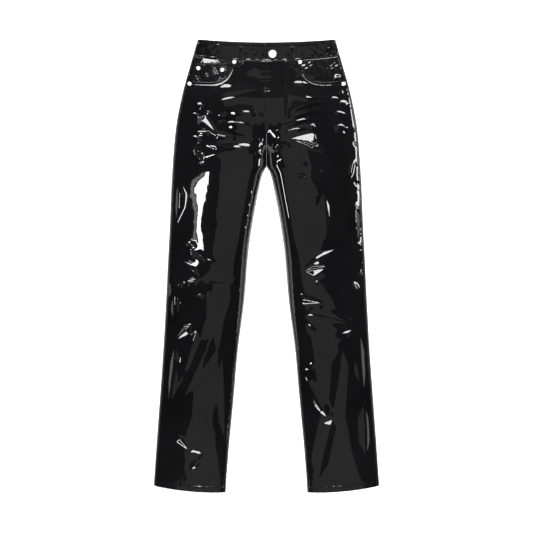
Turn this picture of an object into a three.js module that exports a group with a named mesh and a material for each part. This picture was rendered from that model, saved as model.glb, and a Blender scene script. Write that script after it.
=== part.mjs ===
// Leather trousers, high waisted and straight legged, lying flat on their back.
// Millimetres, +Z up. +Y runs from the hems to the waist and +X is the wearer's left.
// The origin is under the middle of the garment, on the surface that it lies on.
import * as THREE from 'three';

const { clamp, lerp, smoothstep } = THREE.MathUtils;

// Cloth
const LEATHER = 1.4;
const BAND_LEATHER = 3;
const LOOP_LEATHER = 1.6;
const SEAM_GAP = 0.3;
const LAYER = LEATHER + SEAM_GAP;
const LOOP_LAYER = LOOP_LEATHER + SEAM_GAP;

// Heights along the garment
const WAIST = 520;
const CROTCH = 228;
const HEM = -525;

// Outline of the garment as it lies: half its width at the side edges, the distance from
// the middle to the inner edge of a leg, the radius of its rolled edges, and how far the
// front stands over them in the middle of a leg
const OUTLINE = [
  { y: 520, side: 158.7, inner: 0, roll: 5.5, dome: 4 },
  { y: 470, side: 172.6, inner: 0, roll: 5.8, dome: 6 },
  { y: 420, side: 187, inner: 0, roll: 6.2, dome: 11 },
  { y: 380, side: 196.8, inner: 0, roll: 6.5, dome: 16 },
  { y: 335, side: 205.6, inner: 0, roll: 6.5, dome: 18 },
  { y: 290, side: 211.2, inner: 0, roll: 6.5, dome: 19 },
  { y: 228, side: 215.8, inner: 0, roll: 6.5, dome: 20 },
  { y: 212, side: 216.8, inner: 8.7, roll: 6.5, dome: 20 },
  { y: 173, side: 219, inner: 17.7, roll: 6.5, dome: 20 },
  { y: 130, side: 220.6, inner: 26, roll: 6.5, dome: 20 },
  { y: 79, side: 222.8, inner: 34.6, roll: 6.5, dome: 19.5 },
  { y: 29, side: 225.6, inner: 41.5, roll: 6.5, dome: 18.5 },
  { y: -77, side: 230.7, inner: 50.7, roll: 6.5, dome: 16.5 },
  { y: -190, side: 237, inner: 65.2, roll: 6.5, dome: 15 },
  { y: -296, side: 244.4, inner: 74.6, roll: 6.3, dome: 13 },
  { y: -413, side: 253, inner: 85.7, roll: 5.8, dome: 9.5 },
  { y: -480, side: 257.6, inner: 91.1, roll: 5.2, dome: 6 },
  { y: -525, side: 260.5, inner: 93.8, roll: 4.5, dome: 4 },
];
const LEG_DOME_POWER = 2.2;
const HIP_DOME_POWER = 2.6;
const HIP_BLEND = { from: -30, to: 110 };
const CROTCH_VALLEY = { depth: 0.5, width: 26, top: 150 };

// Waist, hems and seams
const WAIST_EDGE = { middle: 512.2, rise: 7.6 };
const WAIST_SEAM = { middle: 470, rise: 11 };
const WAIST_REACH = 158.7;
const HEM_SIDE = { x: 259.1, y: -504 };
const HEM_INNER = { x: 93.3, y: -519.5 };
const HEM_BOW = 5;
const SEAM_INSET = 5;
const INSEAM_START = 25;
const YOKE_SEAM = { middle: 405, side: 440 };
const FACING_INSET = 4;
const KNEE = -20;

// Fly: the left front laps over the right one down to the bottom of the opening
const FLY = { edge: -3.15, bottom: 300, top: 318 };
const FLY_SHIELD = { width: 42, bottom: 335, ramp: 6, height: 1.2 };

// Front pocket mouth, from the waist seam to the side seam
const POCKET_MOUTH = [
  { x: 182, y: 424 },
  { x: 143, y: 421 },
  { x: 119, y: 421 },
  { x: 101, y: 426 },
  { x: 88, y: 436 },
  { x: 80, y: 449 },
  { x: 76, y: 460 },
  { x: 74, y: 472.4 },
];
const POCKET_START = 74;
const FACING_LAP = 8;
const FACING_FROM = 67;
const COIN_POCKET = { top: 463.5, bottom: 406, outerTop: 165, outerBottom: 168, inner: 91, taper: 5 };

// Back pockets, on the underside
const BACK_POCKET = { inner: 33, outer: 147, top: 383, shoulder: 266, point: 240, taper: 6 };
const POCKET_ROOM = { from: 234, to: 386 };

// Waistband, belt loops, button and rivets
const BAND_LIFT = 1.6;
const LOOP = { width: 11.5, top: 501.6, bow: 0.8, step: 2 };
const FRONT_LOOPS = [
  { name: 'belt_loop_front_right', x: -58, bottom: 459.5 },
  { name: 'belt_loop_front_left', x: 58, bottom: 452 },
];
const BACK_LOOPS = [
  { name: 'belt_loop_back_right', x: -105 },
  { name: 'belt_loop_back_centre', x: 0 },
  { name: 'belt_loop_back_left', x: 105 },
];
const BACK_LOOP_BOTTOM = 452;
const LOOP_ROOM = { from: 428, to: 438, full: 34, none: 46 };
const BUTTON = { x: 13.6, y: 484.4, radius: 9, height: 2.6, rim: 0.7 };
const RIVET = { radius: 4.6, shoulder: 3.9, edge: 0.9, height: 1.3, foot: 2, nipple: 1.5, tip: 2.2 };
const RIVETS = [
  { name: 'rivet_pocket_right_waist', x: -73.6, y: 466.4, depth: 0 },
  { name: 'rivet_pocket_right_side', x: -176, y: 417, depth: 0 },
  { name: 'rivet_coin_outer', x: -156.2, y: 453, depth: LAYER },
  { name: 'rivet_coin_inner', x: -101.4, y: 448.7, depth: LAYER },
  { name: 'rivet_pocket_left_waist', x: 76.6, y: 466.4, depth: 0 },
  { name: 'rivet_pocket_left_side', x: 176, y: 417, depth: 0 },
];
const ROUND_SIDES = 20;

// Largest creases of the front. Each runs between two points with a bow to its left. It
// stands its height over the cloth, or under it when negative, and falls away over the
// widths on its left and right. Its crest is rounded by soft.
const FOLDS = [
  // right hip
  { x0: -120, y0: 384, x1: -40, y1: 406, bow: 2, height: 3, left: 14, right: 14, soft: 3 },
  { x0: -152, y0: 330, x1: -118, y1: 294, bow: 2, height: 5, left: 12, right: 12, soft: 3 },
  { x0: -116, y0: 297, x1: -25, y1: 288, bow: 0, height: 3, left: 9, right: 9, soft: 3 },
  { x0: -80, y0: 354, x1: -18, y1: 344, bow: 0, height: -3, left: 10, right: 14, soft: 3 },
  { x0: -174, y0: 264, x1: -146, y1: 238, bow: 0, height: 3, left: 9, right: 9, soft: 3 },
  { x0: -135, y0: 250, x1: -30, y1: 258, bow: 3, height: 3, left: 10, right: 12, soft: 3 },
  // left hip
  { x0: 50, y0: 338, x1: 136, y1: 372, bow: 6, height: 3, left: 9, right: 14, soft: 3 },
  { x0: 38, y0: 300, x1: 92, y1: 312, bow: 4, height: 3, left: 9, right: 9, soft: 3 },
  { x0: 52, y0: 286, x1: 132, y1: 262, bow: 2, height: 5, left: 20, right: 10, soft: 3 },
  { x0: 152, y0: 316, x1: 192, y1: 312, bow: 4, height: 3, left: 8, right: 8, soft: 3 },
  // right knee and shin
  { x0: -152, y0: -26, x1: -196, y1: 14, bow: 0, height: 5, left: 20, right: 12, soft: 3 },
  { x0: -222, y0: -72, x1: -186, y1: -38, bow: 8, height: 4, left: 12, right: 12, soft: 3 },
  { x0: -150, y0: -30, x1: -60, y1: -34, bow: 4, height: -3, left: 10, right: 12, soft: 3 },
  { x0: -176, y0: -134, x1: -208, y1: -178, bow: 2, height: 4, left: 10, right: 12, soft: 3 },
  { x0: -120, y0: -156, x1: -190, y1: -300, bow: 0, height: 4, left: 16, right: 22, soft: 4 },
  { x0: -200, y0: -380, x1: -172, y1: -424, bow: 0, height: 4, left: 10, right: 11, soft: 3 },
  // left knee and shin
  { x0: 84, y0: -12, x1: 164, y1: 38, bow: 2, height: 4, left: 10, right: 14, soft: 3 },
  { x0: 66, y0: -76, x1: 132, y1: -88, bow: 0, height: 4, left: 10, right: 9, soft: 3 },
  { x0: 84, y0: -108, x1: 202, y1: -138, bow: 14, height: 4, left: 10, right: 10, soft: 3 },
  { x0: 86, y0: -128, x1: 200, y1: -146, bow: -28, height: -4, left: 10, right: 10, soft: 3 },
  { x0: 84, y0: -250, x1: 142, y1: -350, bow: 0, height: 4, left: 12, right: 10, soft: 3 },
  { x0: 172, y0: -190, x1: 152, y1: -350, bow: 2, height: -4, left: 18, right: 20, soft: 4 },
  { x0: 150, y0: -350, x1: 120, y1: -490, bow: -4, height: -4, left: 16, right: 20, soft: 4 },
];
const FOLD_FADE = 0.3;
const FOLD_EDGE = { from: 2, to: 14 };

// Grids. Rows are counted between heights, and columns are fractions of a panel's width.
const HEM_ROW = -492;
const PANEL_ROWS = [
  { to: -200, steps: 8 },
  { to: 60, steps: 13 },
  { to: 190, steps: 5 },
  { to: CROTCH, steps: 3 },
  { to: 235, steps: 2 },
  { to: 400, steps: 11 },
];
const TOP_ROWS = 3;
const FRONT_COLUMNS = [
  0, 0.045, 0.11, 0.18, 0.25, 0.31, 0.375, 0.44,
  0.495, 0.56, 0.63, 0.7, 0.77, 0.84, 0.92, 1,
];
const ROLL_COLUMNS = [0, 0.25, 0.5, 0.75];
const FLAT_COLUMNS = [0, 0.1, 0.27, 0.44, 0.61, 0.77];
const CURL_COLUMNS = [0, 0.2, 0.4, 0.6, 0.8, 1];
const YOKE_ROWS = 3;
const BAND_ROWS = [0, 0.35, 0.7, 1];
const BAND_FRONT_COLUMNS = 12;
const FACING_COLUMNS = 9;
const FACING_ROWS = 5;
const SETTLE_STEPS = 4;
const SLOPE_STEP = 0.5;
const EDGE_STEP = 0.01;

// Materials
const patentLeather = new THREE.MeshStandardMaterial({ color: 0x101011, roughness: 0.12, metalness: 0 });
const pocketLeather = new THREE.MeshStandardMaterial({ color: 0x141415, roughness: 0.16, metalness: 0 });
const polishedMetal = new THREE.MeshStandardMaterial({ color: 0xd8d8da, roughness: 0.15, metalness: 1 });

// Smooth curve through one column of a table whose rows run down a key
function readTable(table, key, column, at) {
  const last = table.length - 1;
  const value = clamp(at, table[last][key], table[0][key]);
  const found = table.findIndex((row) => row[key] < value);
  const k = clamp((found < 0 ? last : found) - 1, 0, last - 1);
  const [a, b] = [table[k], table[k + 1]];
  const steepness = (i) => {
    const [p, q] = [table[Math.max(i - 1, 0)], table[Math.min(i + 1, last)]];
    return (q[column] - p[column]) / (q[key] - p[key]);
  };
  const span = b[key] - a[key];
  const t = (value - a[key]) / span;
  const bend = t * (1 - t) * span;
  const straight = lerp(a[column], b[column], t);
  const slope = (b[column] - a[column]) / span;
  return straight + bend * ((1 - t) * (steepness(k) - slope) - t * (steepness(k + 1) - slope));
}

const readOutline = (column, y) => readTable(OUTLINE, 'y', column, clamp(y, HEM, WAIST));
const sideEdge = (y) => readOutline('side', y);
const rollRadius = (y) => readOutline('roll', y);
const crotchRows = OUTLINE.filter((row) => row.y <= CROTCH);
const innerEdge = (y) => (y >= CROTCH ? 0 : readTable(crotchRows, 'y', 'inner', y));
const pocketMouth = (x) => readTable(POCKET_MOUTH, 'x', 'y', Math.abs(x));
const waistEdge = (x) => WAIST_EDGE.middle + WAIST_EDGE.rise * (x / WAIST_REACH) ** 2;
const waistSeam = (x) => WAIST_SEAM.middle + WAIST_SEAM.rise * (x / WAIST_REACH) ** 2;
const flyEdge = (y) => FLY.edge * smoothstep(y, FLY.bottom, FLY.top);

function hemLine(x) {
  const across = (HEM_SIDE.x - Math.abs(x)) / (HEM_SIDE.x - HEM_INNER.x);
  return lerp(HEM_SIDE.y, HEM_INNER.y, across) - HEM_BOW * 4 * across * (1 - across);
}

// How far a point of the plan lies inside the outline, the crotch's round end included
function edgeDistance(x, y) {
  const fromSide = sideEdge(y) - Math.abs(x);
  const fromInner = y < CROTCH ? Math.abs(x) - innerEdge(y) : Math.hypot(x, y - CROTCH);
  return Math.min(fromSide, fromInner);
}

// How far the front stands over the rolled edges: a dome over each leg that joins into
// one over the hips, with a soft valley above the crotch
function domeHeight(x, y) {
  const ax = Math.abs(x);
  const inner = innerEdge(y);
  const across = clamp((ax - inner) / (sideEdge(y) - inner), 0, 1);
  const leg = 1 - Math.abs(2 * across - 1) ** LEG_DOME_POWER;
  const hip = 1 - across ** HIP_DOME_POWER;
  const hipShare = smoothstep(y, CROTCH + HIP_BLEND.from, CROTCH + HIP_BLEND.to);
  const valley = CROTCH_VALLEY.depth * Math.exp(-((ax / CROTCH_VALLEY.width) ** 2))
    * (1 - smoothstep(y, CROTCH, CROTCH + CROTCH_VALLEY.top));
  return readOutline('dome', y) * lerp(leg, hip * (1 - valley), hipShare);
}

// Height that one crease adds at a point of the plan
function foldHeight(fold, x, y) {
  const [dx, dy] = [fold.x1 - fold.x0, fold.y1 - fold.y0];
  const length = Math.hypot(dx, dy);
  const along = ((x - fold.x0) * dx + (y - fold.y0) * dy) / length ** 2;
  if (along <= 0 || along >= 1) {
    return 0;
  }
  const across = ((y - fold.y0) * dx - (x - fold.x0) * dy) / length - fold.bow * 4 * along * (1 - along);
  const width = across > 0 ? fold.left : fold.right;
  const fall = Math.exp(-(Math.hypot(across, fold.soft) - fold.soft) / width);
  return fold.height * fall * smoothstep(along, 0, FOLD_FADE) * smoothstep(1 - along, 0, FOLD_FADE);
}

function coverHeight(x, y) {
  const fade = smoothstep(edgeDistance(x, y), FOLD_EDGE.from, FOLD_EDGE.to);
  return domeHeight(x, y) + fade * FOLDS.reduce((sum, fold) => sum + foldHeight(fold, x, y), 0);
}

// Point and outward normal of the garment's outside. The side edges are rolls of a round
// section: seen across one, a is the way from its axis in plan and q the way up from it.
function surface(x, y, onTop, lifted = 0) {
  const roll = rollRadius(y);
  const a = Math.max(roll - Math.max(edgeDistance(x, y), 0), 0);
  const q = Math.sqrt(roll * roll - a * a);
  const edgeX = (edgeDistance(x + EDGE_STEP, y) - edgeDistance(x - EDGE_STEP, y)) / (2 * EDGE_STEP);
  const edgeY = (edgeDistance(x, y + EDGE_STEP) - edgeDistance(x, y - EDGE_STEP)) / (2 * EDGE_STEP);
  const normal = new THREE.Vector3(-a * edgeX, -a * edgeY, onTop ? q : -q);
  if (onTop) {
    normal.x -= q * (coverHeight(x + SLOPE_STEP, y) - coverHeight(x - SLOPE_STEP, y)) / (2 * SLOPE_STEP);
    normal.y -= q * (coverHeight(x, y + SLOPE_STEP) - coverHeight(x, y - SLOPE_STEP)) / (2 * SLOPE_STEP);
  }
  const z = onTop ? roll + q + coverHeight(x, y) : roll - q + lifted;
  return { point: new THREE.Vector3(x, y, z), normal: normal.normalize() };
}

// Outside and inside of a piece of cloth whose outer face is moved out by lift
function through({ point, normal }, lift, thick) {
  return {
    outside: point.clone().addScaledVector(normal, lift),
    inside: point.clone().addScaledVector(normal, lift - thick),
  };
}

// Way round a rolled edge from its outermost line, and the same seen in plan
function arcOf(plan, roll) {
  return plan < roll ? roll * Math.acos(1 - plan / roll) : roll * (Math.PI / 2 - 1) + plan;
}

function planOf(arc, roll) {
  const isRound = arc < roll * Math.PI / 2;
  return isRound ? roll * (1 - Math.cos(arc / roll)) : arc - roll * (Math.PI / 2 - 1);
}

// Measures of the garment's section at a height, on one side of it
function section(side, y, startX = 0) {
  const roll = rollRadius(y);
  const isLeg = y < CROTCH;
  const start = isLeg ? innerEdge(y) : SEAM_GAP / 2 + side * startX;
  const quarter = roll * Math.PI / 2;
  const inset = SEAM_INSET * (1 - smoothstep(y, CROTCH - INSEAM_START, CROTCH));
  return {
    roll,
    isLeg,
    start,
    quarter,
    outer: sideEdge(y),
    innerSeam: isLeg ? arcOf(inset, roll) : 0,
    outerSeam: arcOf(SEAM_INSET, roll),
    total: sideEdge(y) - start + (isLeg ? 2 : 1) * (quarter - roll),
  };
}

// Place in plan at an arc length over a section, from its inner edge to its side edge
function planAcross(cut, arc) {
  if (cut.total - arc < Math.max(cut.total / 2, cut.quarter)) {
    return cut.outer - planOf(cut.total - arc, cut.roll);
  }
  return cut.start + (cut.isLeg ? planOf(arc, cut.roll) : arc);
}

// Front panel: x at a fraction of its width
function frontX(side, u, y) {
  const cut = section(side, y, flyEdge(y));
  const from = cut.isLeg ? cut.innerSeam + SEAM_GAP / 2 : 0;
  return side * planAcross(cut, lerp(from, cut.total - cut.outerSeam - SEAM_GAP / 2, u));
}

// Back panel: its section runs from the inner seam round the inner edge, under the leg and
// round the side edge to the side seam. Columns are { zone, share } along that way.
const BACK_COLUMNS = [
  ...ROLL_COLUMNS.map((share) => ({ zone: 'roll', share })),
  ...FLAT_COLUMNS.map((share) => ({ zone: 'flat', share })),
  ...CURL_COLUMNS.map((share) => ({ zone: 'curl', share })),
];

function backPlace(side, column, y) {
  const cut = section(side, y);
  const seam = cut.isLeg ? cut.innerSeam - SEAM_GAP / 2 : 0;
  const [flatFrom, flatTo] = [cut.quarter, cut.total - cut.quarter];
  const arc = {
    roll: lerp(-seam, flatFrom, column.share),
    flat: lerp(flatFrom, flatTo, column.share),
    curl: lerp(flatTo, cut.total + cut.outerSeam - SEAM_GAP / 2, column.share),
  }[column.zone];
  if (arc < 0) {
    return { x: side * (cut.start + planOf(-arc, cut.roll)), onTop: true };
  }
  if (arc > cut.total) {
    return { x: side * (cut.outer - planOf(arc - cut.total, cut.roll)), onTop: true };
  }
  return { x: side * planAcross(cut, arc), onTop: false };
}

// Height y where a column meets a line that depends on its x
function settle(xAt, line, guess) {
  let y = guess;
  for (let step = 0; step < SETTLE_STEPS; step += 1) {
    y = line(xAt(y));
  }
  return y;
}

// Heights of one column's rows, from the hem up to its top line
function columnHeights(xAt, topLine) {
  const heights = [settle(xAt, hemLine, HEM_SIDE.y), HEM_ROW];
  for (const { to, steps } of PANEL_ROWS) {
    const from = heights[heights.length - 1];
    for (let step = 1; step <= steps; step += 1) {
      heights.push(lerp(from, to, step / steps));
    }
  }
  const from = heights[heights.length - 1];
  const top = settle(xAt, topLine, from);
  for (let step = 1; step <= TOP_ROWS; step += 1) {
    heights.push(lerp(from, top, step / TOP_ROWS));
  }
  return heights;
}

// Closed wall between two grids of points, given as columns of { outside, inside }
function wallGeometry(columns) {
  const rows = columns[0].length;
  const positions = [];
  for (const face of ['outside', 'inside']) {
    for (const column of columns) {
      column.forEach((place) => positions.push(...place[face].toArray()));
    }
  }
  const inner = columns.length * rows;
  const at = (c, r) => c * rows + r;
  const index = [];
  const quad = (a, b, c, d) => index.push(a, b, c, a, c, d);
  for (let c = 0; c + 1 < columns.length; c += 1) {
    for (let r = 0; r + 1 < rows; r += 1) {
      quad(at(c, r), at(c + 1, r), at(c + 1, r + 1), at(c, r + 1));
      quad(inner + at(c, r), inner + at(c, r + 1), inner + at(c + 1, r + 1), inner + at(c + 1, r));
    }
  }
  const rim = (a, b) => quad(b, a, inner + a, inner + b);
  for (let c = 0; c + 1 < columns.length; c += 1) {
    rim(at(c, 0), at(c + 1, 0));
    rim(at(c + 1, rows - 1), at(c, rows - 1));
  }
  for (let r = 0; r + 1 < rows; r += 1) {
    rim(at(columns.length - 1, r), at(columns.length - 1, r + 1));
    rim(at(0, r + 1), at(0, r));
  }
  return closedGeometry(positions, index);
}

function closedGeometry(positions, index) {
  const geometry = new THREE.BufferGeometry();
  geometry.setAttribute('position', new THREE.Float32BufferAttribute(positions, 3));
  geometry.setIndex(enclosedVolume(positions, index) < 0 ? index.reverse() : index);
  geometry.computeVertexNormals();
  return geometry;
}

function enclosedVolume(positions, index) {
  const corner = (k) => new THREE.Vector3().fromArray(positions, 3 * index[k]);
  let volume = 0;
  for (let k = 0; k < index.length; k += 3) {
    volume += corner(k).dot(corner(k + 1).cross(corner(k + 2))) / 6;
  }
  return volume;
}

// Front panels
function flyShield(side, x, y) {
  if (side < 0) {
    return 0;
  }
  const beyondWidth = smoothstep(x, FLY_SHIELD.width, FLY_SHIELD.width + FLY_SHIELD.ramp);
  const beyondBottom = 1 - smoothstep(y, FLY_SHIELD.bottom - FLY_SHIELD.ramp, FLY_SHIELD.bottom);
  return FLY_SHIELD.height * (1 - beyondWidth) * (1 - beyondBottom);
}

function frontTopLine(x) {
  const seam = waistSeam(x) - SEAM_GAP / 2;
  return Math.abs(x) < POCKET_START ? seam : Math.min(pocketMouth(x), seam);
}

function frontPanel(side) {
  const columns = FRONT_COLUMNS.map((u) => {
    const xAt = (y) => frontX(side, u, y);
    return columnHeights(xAt, frontTopLine).map((y) => {
      const lift = flyShield(side, xAt(y), y);
      return through(surface(xAt(y), y, true), lift, LEATHER + lift);
    });
  });
  return wallGeometry(columns);
}

// Back panels and yokes. The cloth stands up over the pockets and loops under it.
function pocketRoom(column, y) {
  const overPocket = column.zone === 'flat' && column.share > 0;
  return overPocket && y > POCKET_ROOM.from && y < POCKET_ROOM.to ? LAYER : 0;
}

function loopRoom(x, y) {
  const nearest = Math.min(...BACK_LOOPS.map((loop) => Math.abs(x - loop.x)));
  const beside = 1 - smoothstep(nearest, LOOP_ROOM.full, LOOP_ROOM.none);
  return LOOP_LAYER * beside * smoothstep(y, LOOP_ROOM.from, LOOP_ROOM.to);
}

// Height of the yoke seam on one column: it stays level where it comes over the side edge
function yokeSeam(placeAt) {
  const side = sideEdge(YOKE_SEAM.side);
  const seam = (x) => lerp(YOKE_SEAM.middle, YOKE_SEAM.side, Math.min(Math.abs(x) / side, 1));
  const isOver = placeAt(YOKE_SEAM.side).onTop;
  return settle((y) => placeAt(y).x, (x) => seam(isOver ? side : x), YOKE_SEAM.side);
}

// A back panel is one cut piece, built as two solids that meet at the knee
function backPanel(side, isUpper) {
  const columns = BACK_COLUMNS.map((column) => {
    const placeAt = (y) => backPlace(side, column, y);
    const top = yokeSeam(placeAt) - SEAM_GAP / 2;
    const heights = columnHeights((y) => placeAt(y).x, () => top);
    const rows = isUpper
      ? [KNEE + SEAM_GAP / 2, ...heights.filter((y) => y > KNEE + SEAM_GAP)]
      : [...heights.filter((y) => y < KNEE - SEAM_GAP), KNEE - SEAM_GAP / 2];
    return rows.map((y) => {
      const { x, onTop } = placeAt(y);
      return through(surface(x, y, onTop, pocketRoom(column, y)), 0, LEATHER);
    });
  });
  return wallGeometry(columns);
}

function yoke(side) {
  const columns = BACK_COLUMNS.map((column) => {
    const placeAt = (y) => backPlace(side, column, y);
    const bottom = yokeSeam(placeAt) + SEAM_GAP / 2;
    const top = settle((y) => placeAt(y).x, waistSeam, bottom) - SEAM_GAP / 2;
    return Array.from({ length: YOKE_ROWS + 1 }, (_, row) => {
      const y = lerp(bottom, top, row / YOKE_ROWS);
      const { x, onTop } = placeAt(y);
      return through(surface(x, y, onTop, loopRoom(x, y)), 0, LEATHER);
    });
  });
  return wallGeometry(columns);
}

// Back pocket: a flat patch with a pointed bottom, flush with the underside
function backPocket(side) {
  const { inner, outer, top, shoulder, point, taper } = BACK_POCKET;
  const outline = new THREE.Shape([
    new THREE.Vector2(inner, top),
    new THREE.Vector2(inner + taper, shoulder),
    new THREE.Vector2((inner + outer) / 2, point),
    new THREE.Vector2(outer - taper, shoulder),
    new THREE.Vector2(outer, top),
  ].map((corner) => new THREE.Vector2(side * corner.x, corner.y)));
  return new THREE.ExtrudeGeometry(outline, { depth: LEATHER, bevelEnabled: false });
}

// Pocket facing: the leather seen through the pocket mouth, tucked under the front
function facing(side, depth) {
  const columns = Array.from({ length: FACING_COLUMNS + 1 }, (_, c) => {
    const u = c / FACING_COLUMNS;
    const xAt = (y) => side * lerp(FACING_FROM, sideEdge(y) - FACING_INSET, u);
    const bottom = settle(xAt, (x) => Math.min(pocketMouth(x), waistSeam(x)) - FACING_LAP, YOKE_SEAM.side);
    const top = settle(xAt, waistSeam, YOKE_SEAM.side) - SEAM_GAP / 2;
    return Array.from({ length: FACING_ROWS + 1 }, (_, row) => {
      const y = lerp(bottom, top, row / FACING_ROWS);
      return through(surface(xAt(y), y, true), -depth, LEATHER);
    });
  });
  return wallGeometry(columns);
}

// Coin pocket: a patch on the right facing, whose lower part goes under the front
function coinPocket() {
  const { top, bottom, outerTop, outerBottom, inner, taper } = COIN_POCKET;
  const columns = Array.from({ length: FACING_COLUMNS + 1 }, (_, c) => (
    Array.from({ length: FACING_ROWS + 1 }, (_, row) => {
      const down = row / FACING_ROWS;
      const [innerX, outerX] = [inner + taper * down, lerp(outerTop, outerBottom, down)];
      const x = -lerp(innerX, outerX, c / FACING_COLUMNS);
      return through(surface(x, lerp(top, bottom, down), true), -LAYER, LEATHER);
    })
  ));
  return wallGeometry(columns);
}

// Waistband: one strip from the fly round the left side, under the back and round to the fly
function bandPath() {
  const stops = [];
  for (const side of [1, -1]) {
    const half = [];
    for (let k = 0; k < BAND_FRONT_COLUMNS; k += 1) {
      half.push({ side, front: k / BAND_FRONT_COLUMNS });
    }
    [...BACK_COLUMNS].reverse().forEach((column) => half.push({ side, column }));
    stops.push(...(side > 0 ? half : half.reverse().slice(1)));
  }
  return stops;
}

function bandPlace({ side, front, column }, y) {
  if (column === undefined) {
    return { x: frontX(side, front, y), onTop: true };
  }
  const { x, onTop } = backPlace(side, column, y);
  return { x: Math.abs(x) > SEAM_GAP ? x : 0, onTop };
}

function waistband() {
  const columns = bandPath().map((stop) => {
    const xAt = (y) => bandPlace(stop, y).x;
    const bottom = settle(xAt, waistSeam, WAIST_SEAM.middle) + SEAM_GAP / 2;
    const top = settle(xAt, waistEdge, WAIST_EDGE.middle);
    return BAND_ROWS.map((share) => {
      const y = lerp(bottom, top, share);
      const { x, onTop } = bandPlace(stop, y);
      const lift = onTop ? BAND_LIFT * smoothstep(edgeDistance(x, y), 0, rollRadius(y)) : 0;
      return through(surface(x, y, onTop, loopRoom(x, y)), lift, BAND_LEATHER);
    });
  });
  return wallGeometry(columns);
}

// Belt loops
function frontLoop({ x, bottom }) {
  const seam = waistSeam(x);
  const clear = BAND_LIFT + SEAM_GAP + LOOP_LEATHER;
  const rows = [
    { y: bottom, lift: LOOP_LAYER + SEAM_GAP },
    { y: lerp(bottom, seam, 0.5), lift: LOOP_LAYER + BAND_LIFT / 2 },
    { y: seam - LOOP.step, lift: clear + SEAM_GAP },
    { y: lerp(seam, LOOP.top, 0.5), lift: clear + LOOP.bow },
    { y: LOOP.top, lift: clear },
  ];
  const columns = [-0.5, 0, 0.5].map((share) => (
    rows.map(({ y, lift }) => through(surface(x + share * LOOP.width, y, true), lift, LOOP_LEATHER))
  ));
  return wallGeometry(columns);
}

function backLoop({ x }) {
  const strip = new THREE.BoxGeometry(LOOP.width, LOOP.top - BACK_LOOP_BOTTOM, LOOP_LEATHER);
  return strip.translate(x, (LOOP.top + BACK_LOOP_BOTTOM) / 2, LOOP_LEATHER / 2);
}

// Metal
function seatHeight(x, y, radius, lift) {
  const around = [...Array(ROUND_SIDES).keys()].map((k) => (2 * Math.PI * k) / ROUND_SIDES);
  const heights = around.map((angle) => (
    surface(x + radius * Math.cos(angle), y + radius * Math.sin(angle), true).point.z
  ));
  return Math.max(...heights, surface(x, y, true).point.z) + lift + SEAM_GAP;
}

function turned(profile) {
  const points = profile.map(([radius, height]) => new THREE.Vector2(radius, height));
  return new THREE.LatheGeometry(points, ROUND_SIDES).rotateX(Math.PI / 2);
}

function buttonGeometry() {
  const { radius, height, rim } = BUTTON;
  return turned([
    [0, 0],
    [radius, 0],
    [radius, height - rim],
    [radius - rim, height],
    [radius - 2 * rim, height],
    [radius - 3 * rim, height - rim],
    [0, height - rim / 2],
  ]);
}

function rivetGeometry() {
  const { radius, shoulder, edge, height, foot, nipple, tip } = RIVET;
  return turned([
    [0, 0],
    [radius, 0],
    [shoulder, edge],
    [foot, height],
    [nipple, tip],
    [0, tip],
  ]);
}

// Assembly
const trousers = new THREE.Group();

function add(name, geometry, material) {
  const mesh = new THREE.Mesh(geometry, material);
  mesh.name = name;
  trousers.add(mesh);
  return mesh;
}

for (const [hand, side] of [['right', -1], ['left', 1]]) {
  add(`front_${hand}`, frontPanel(side), patentLeather);
  add(`back_${hand}_upper`, backPanel(side, true), patentLeather);
  add(`back_${hand}_lower`, backPanel(side, false), patentLeather);
  add(`yoke_${hand}`, yoke(side), patentLeather);
  add(`back_pocket_${hand}`, backPocket(side), patentLeather);
}
add('pocket_facing_right', facing(-1, 2 * LAYER), pocketLeather);
add('pocket_facing_left', facing(1, LAYER), pocketLeather);
add('coin_pocket', coinPocket(), patentLeather);
add('waistband', waistband(), patentLeather);

for (const loop of FRONT_LOOPS) {
  add(loop.name, frontLoop(loop), patentLeather);
}
for (const loop of BACK_LOOPS) {
  add(loop.name, backLoop(loop), patentLeather);
}

const button = add('button', buttonGeometry(), polishedMetal);
button.position.set(BUTTON.x, BUTTON.y, seatHeight(BUTTON.x, BUTTON.y, BUTTON.radius, BAND_LIFT));
for (const { name, x, y, depth } of RIVETS) {
  const rivet = add(name, rivetGeometry(), polishedMetal);
  rivet.position.set(x, y, seatHeight(x, y, RIVET.radius, -depth));
}

export default trousers;
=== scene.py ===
import math

import bpy
import numpy as np
from bpy.props import FloatProperty, FloatVectorProperty, PointerProperty
from mathutils import Matrix, Vector


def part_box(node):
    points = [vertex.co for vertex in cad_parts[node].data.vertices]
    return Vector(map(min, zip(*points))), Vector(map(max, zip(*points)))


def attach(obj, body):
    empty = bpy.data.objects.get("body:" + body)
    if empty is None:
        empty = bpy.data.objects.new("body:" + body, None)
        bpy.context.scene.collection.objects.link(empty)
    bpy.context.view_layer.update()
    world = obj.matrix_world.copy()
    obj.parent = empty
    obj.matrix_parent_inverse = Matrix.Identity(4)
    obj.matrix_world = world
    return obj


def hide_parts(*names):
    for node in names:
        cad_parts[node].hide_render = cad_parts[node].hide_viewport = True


bl_info = {
    "name": "Patent leather trousers",
    "version": (1, 0, 0),
    "blender": (4, 5, 0),
    "location": "3D View > Sidebar > Trousers",
    "description": "Dresses flat-lying leather trousers: creased panels, sewing and metal",
    "category": "Add Mesh",
}

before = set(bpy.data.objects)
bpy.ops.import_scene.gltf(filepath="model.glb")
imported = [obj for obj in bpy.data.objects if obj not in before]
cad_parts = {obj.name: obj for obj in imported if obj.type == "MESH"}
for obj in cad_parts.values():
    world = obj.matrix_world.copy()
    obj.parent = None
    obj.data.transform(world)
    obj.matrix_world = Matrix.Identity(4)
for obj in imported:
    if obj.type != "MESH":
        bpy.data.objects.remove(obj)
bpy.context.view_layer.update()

MM = 0.001

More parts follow.
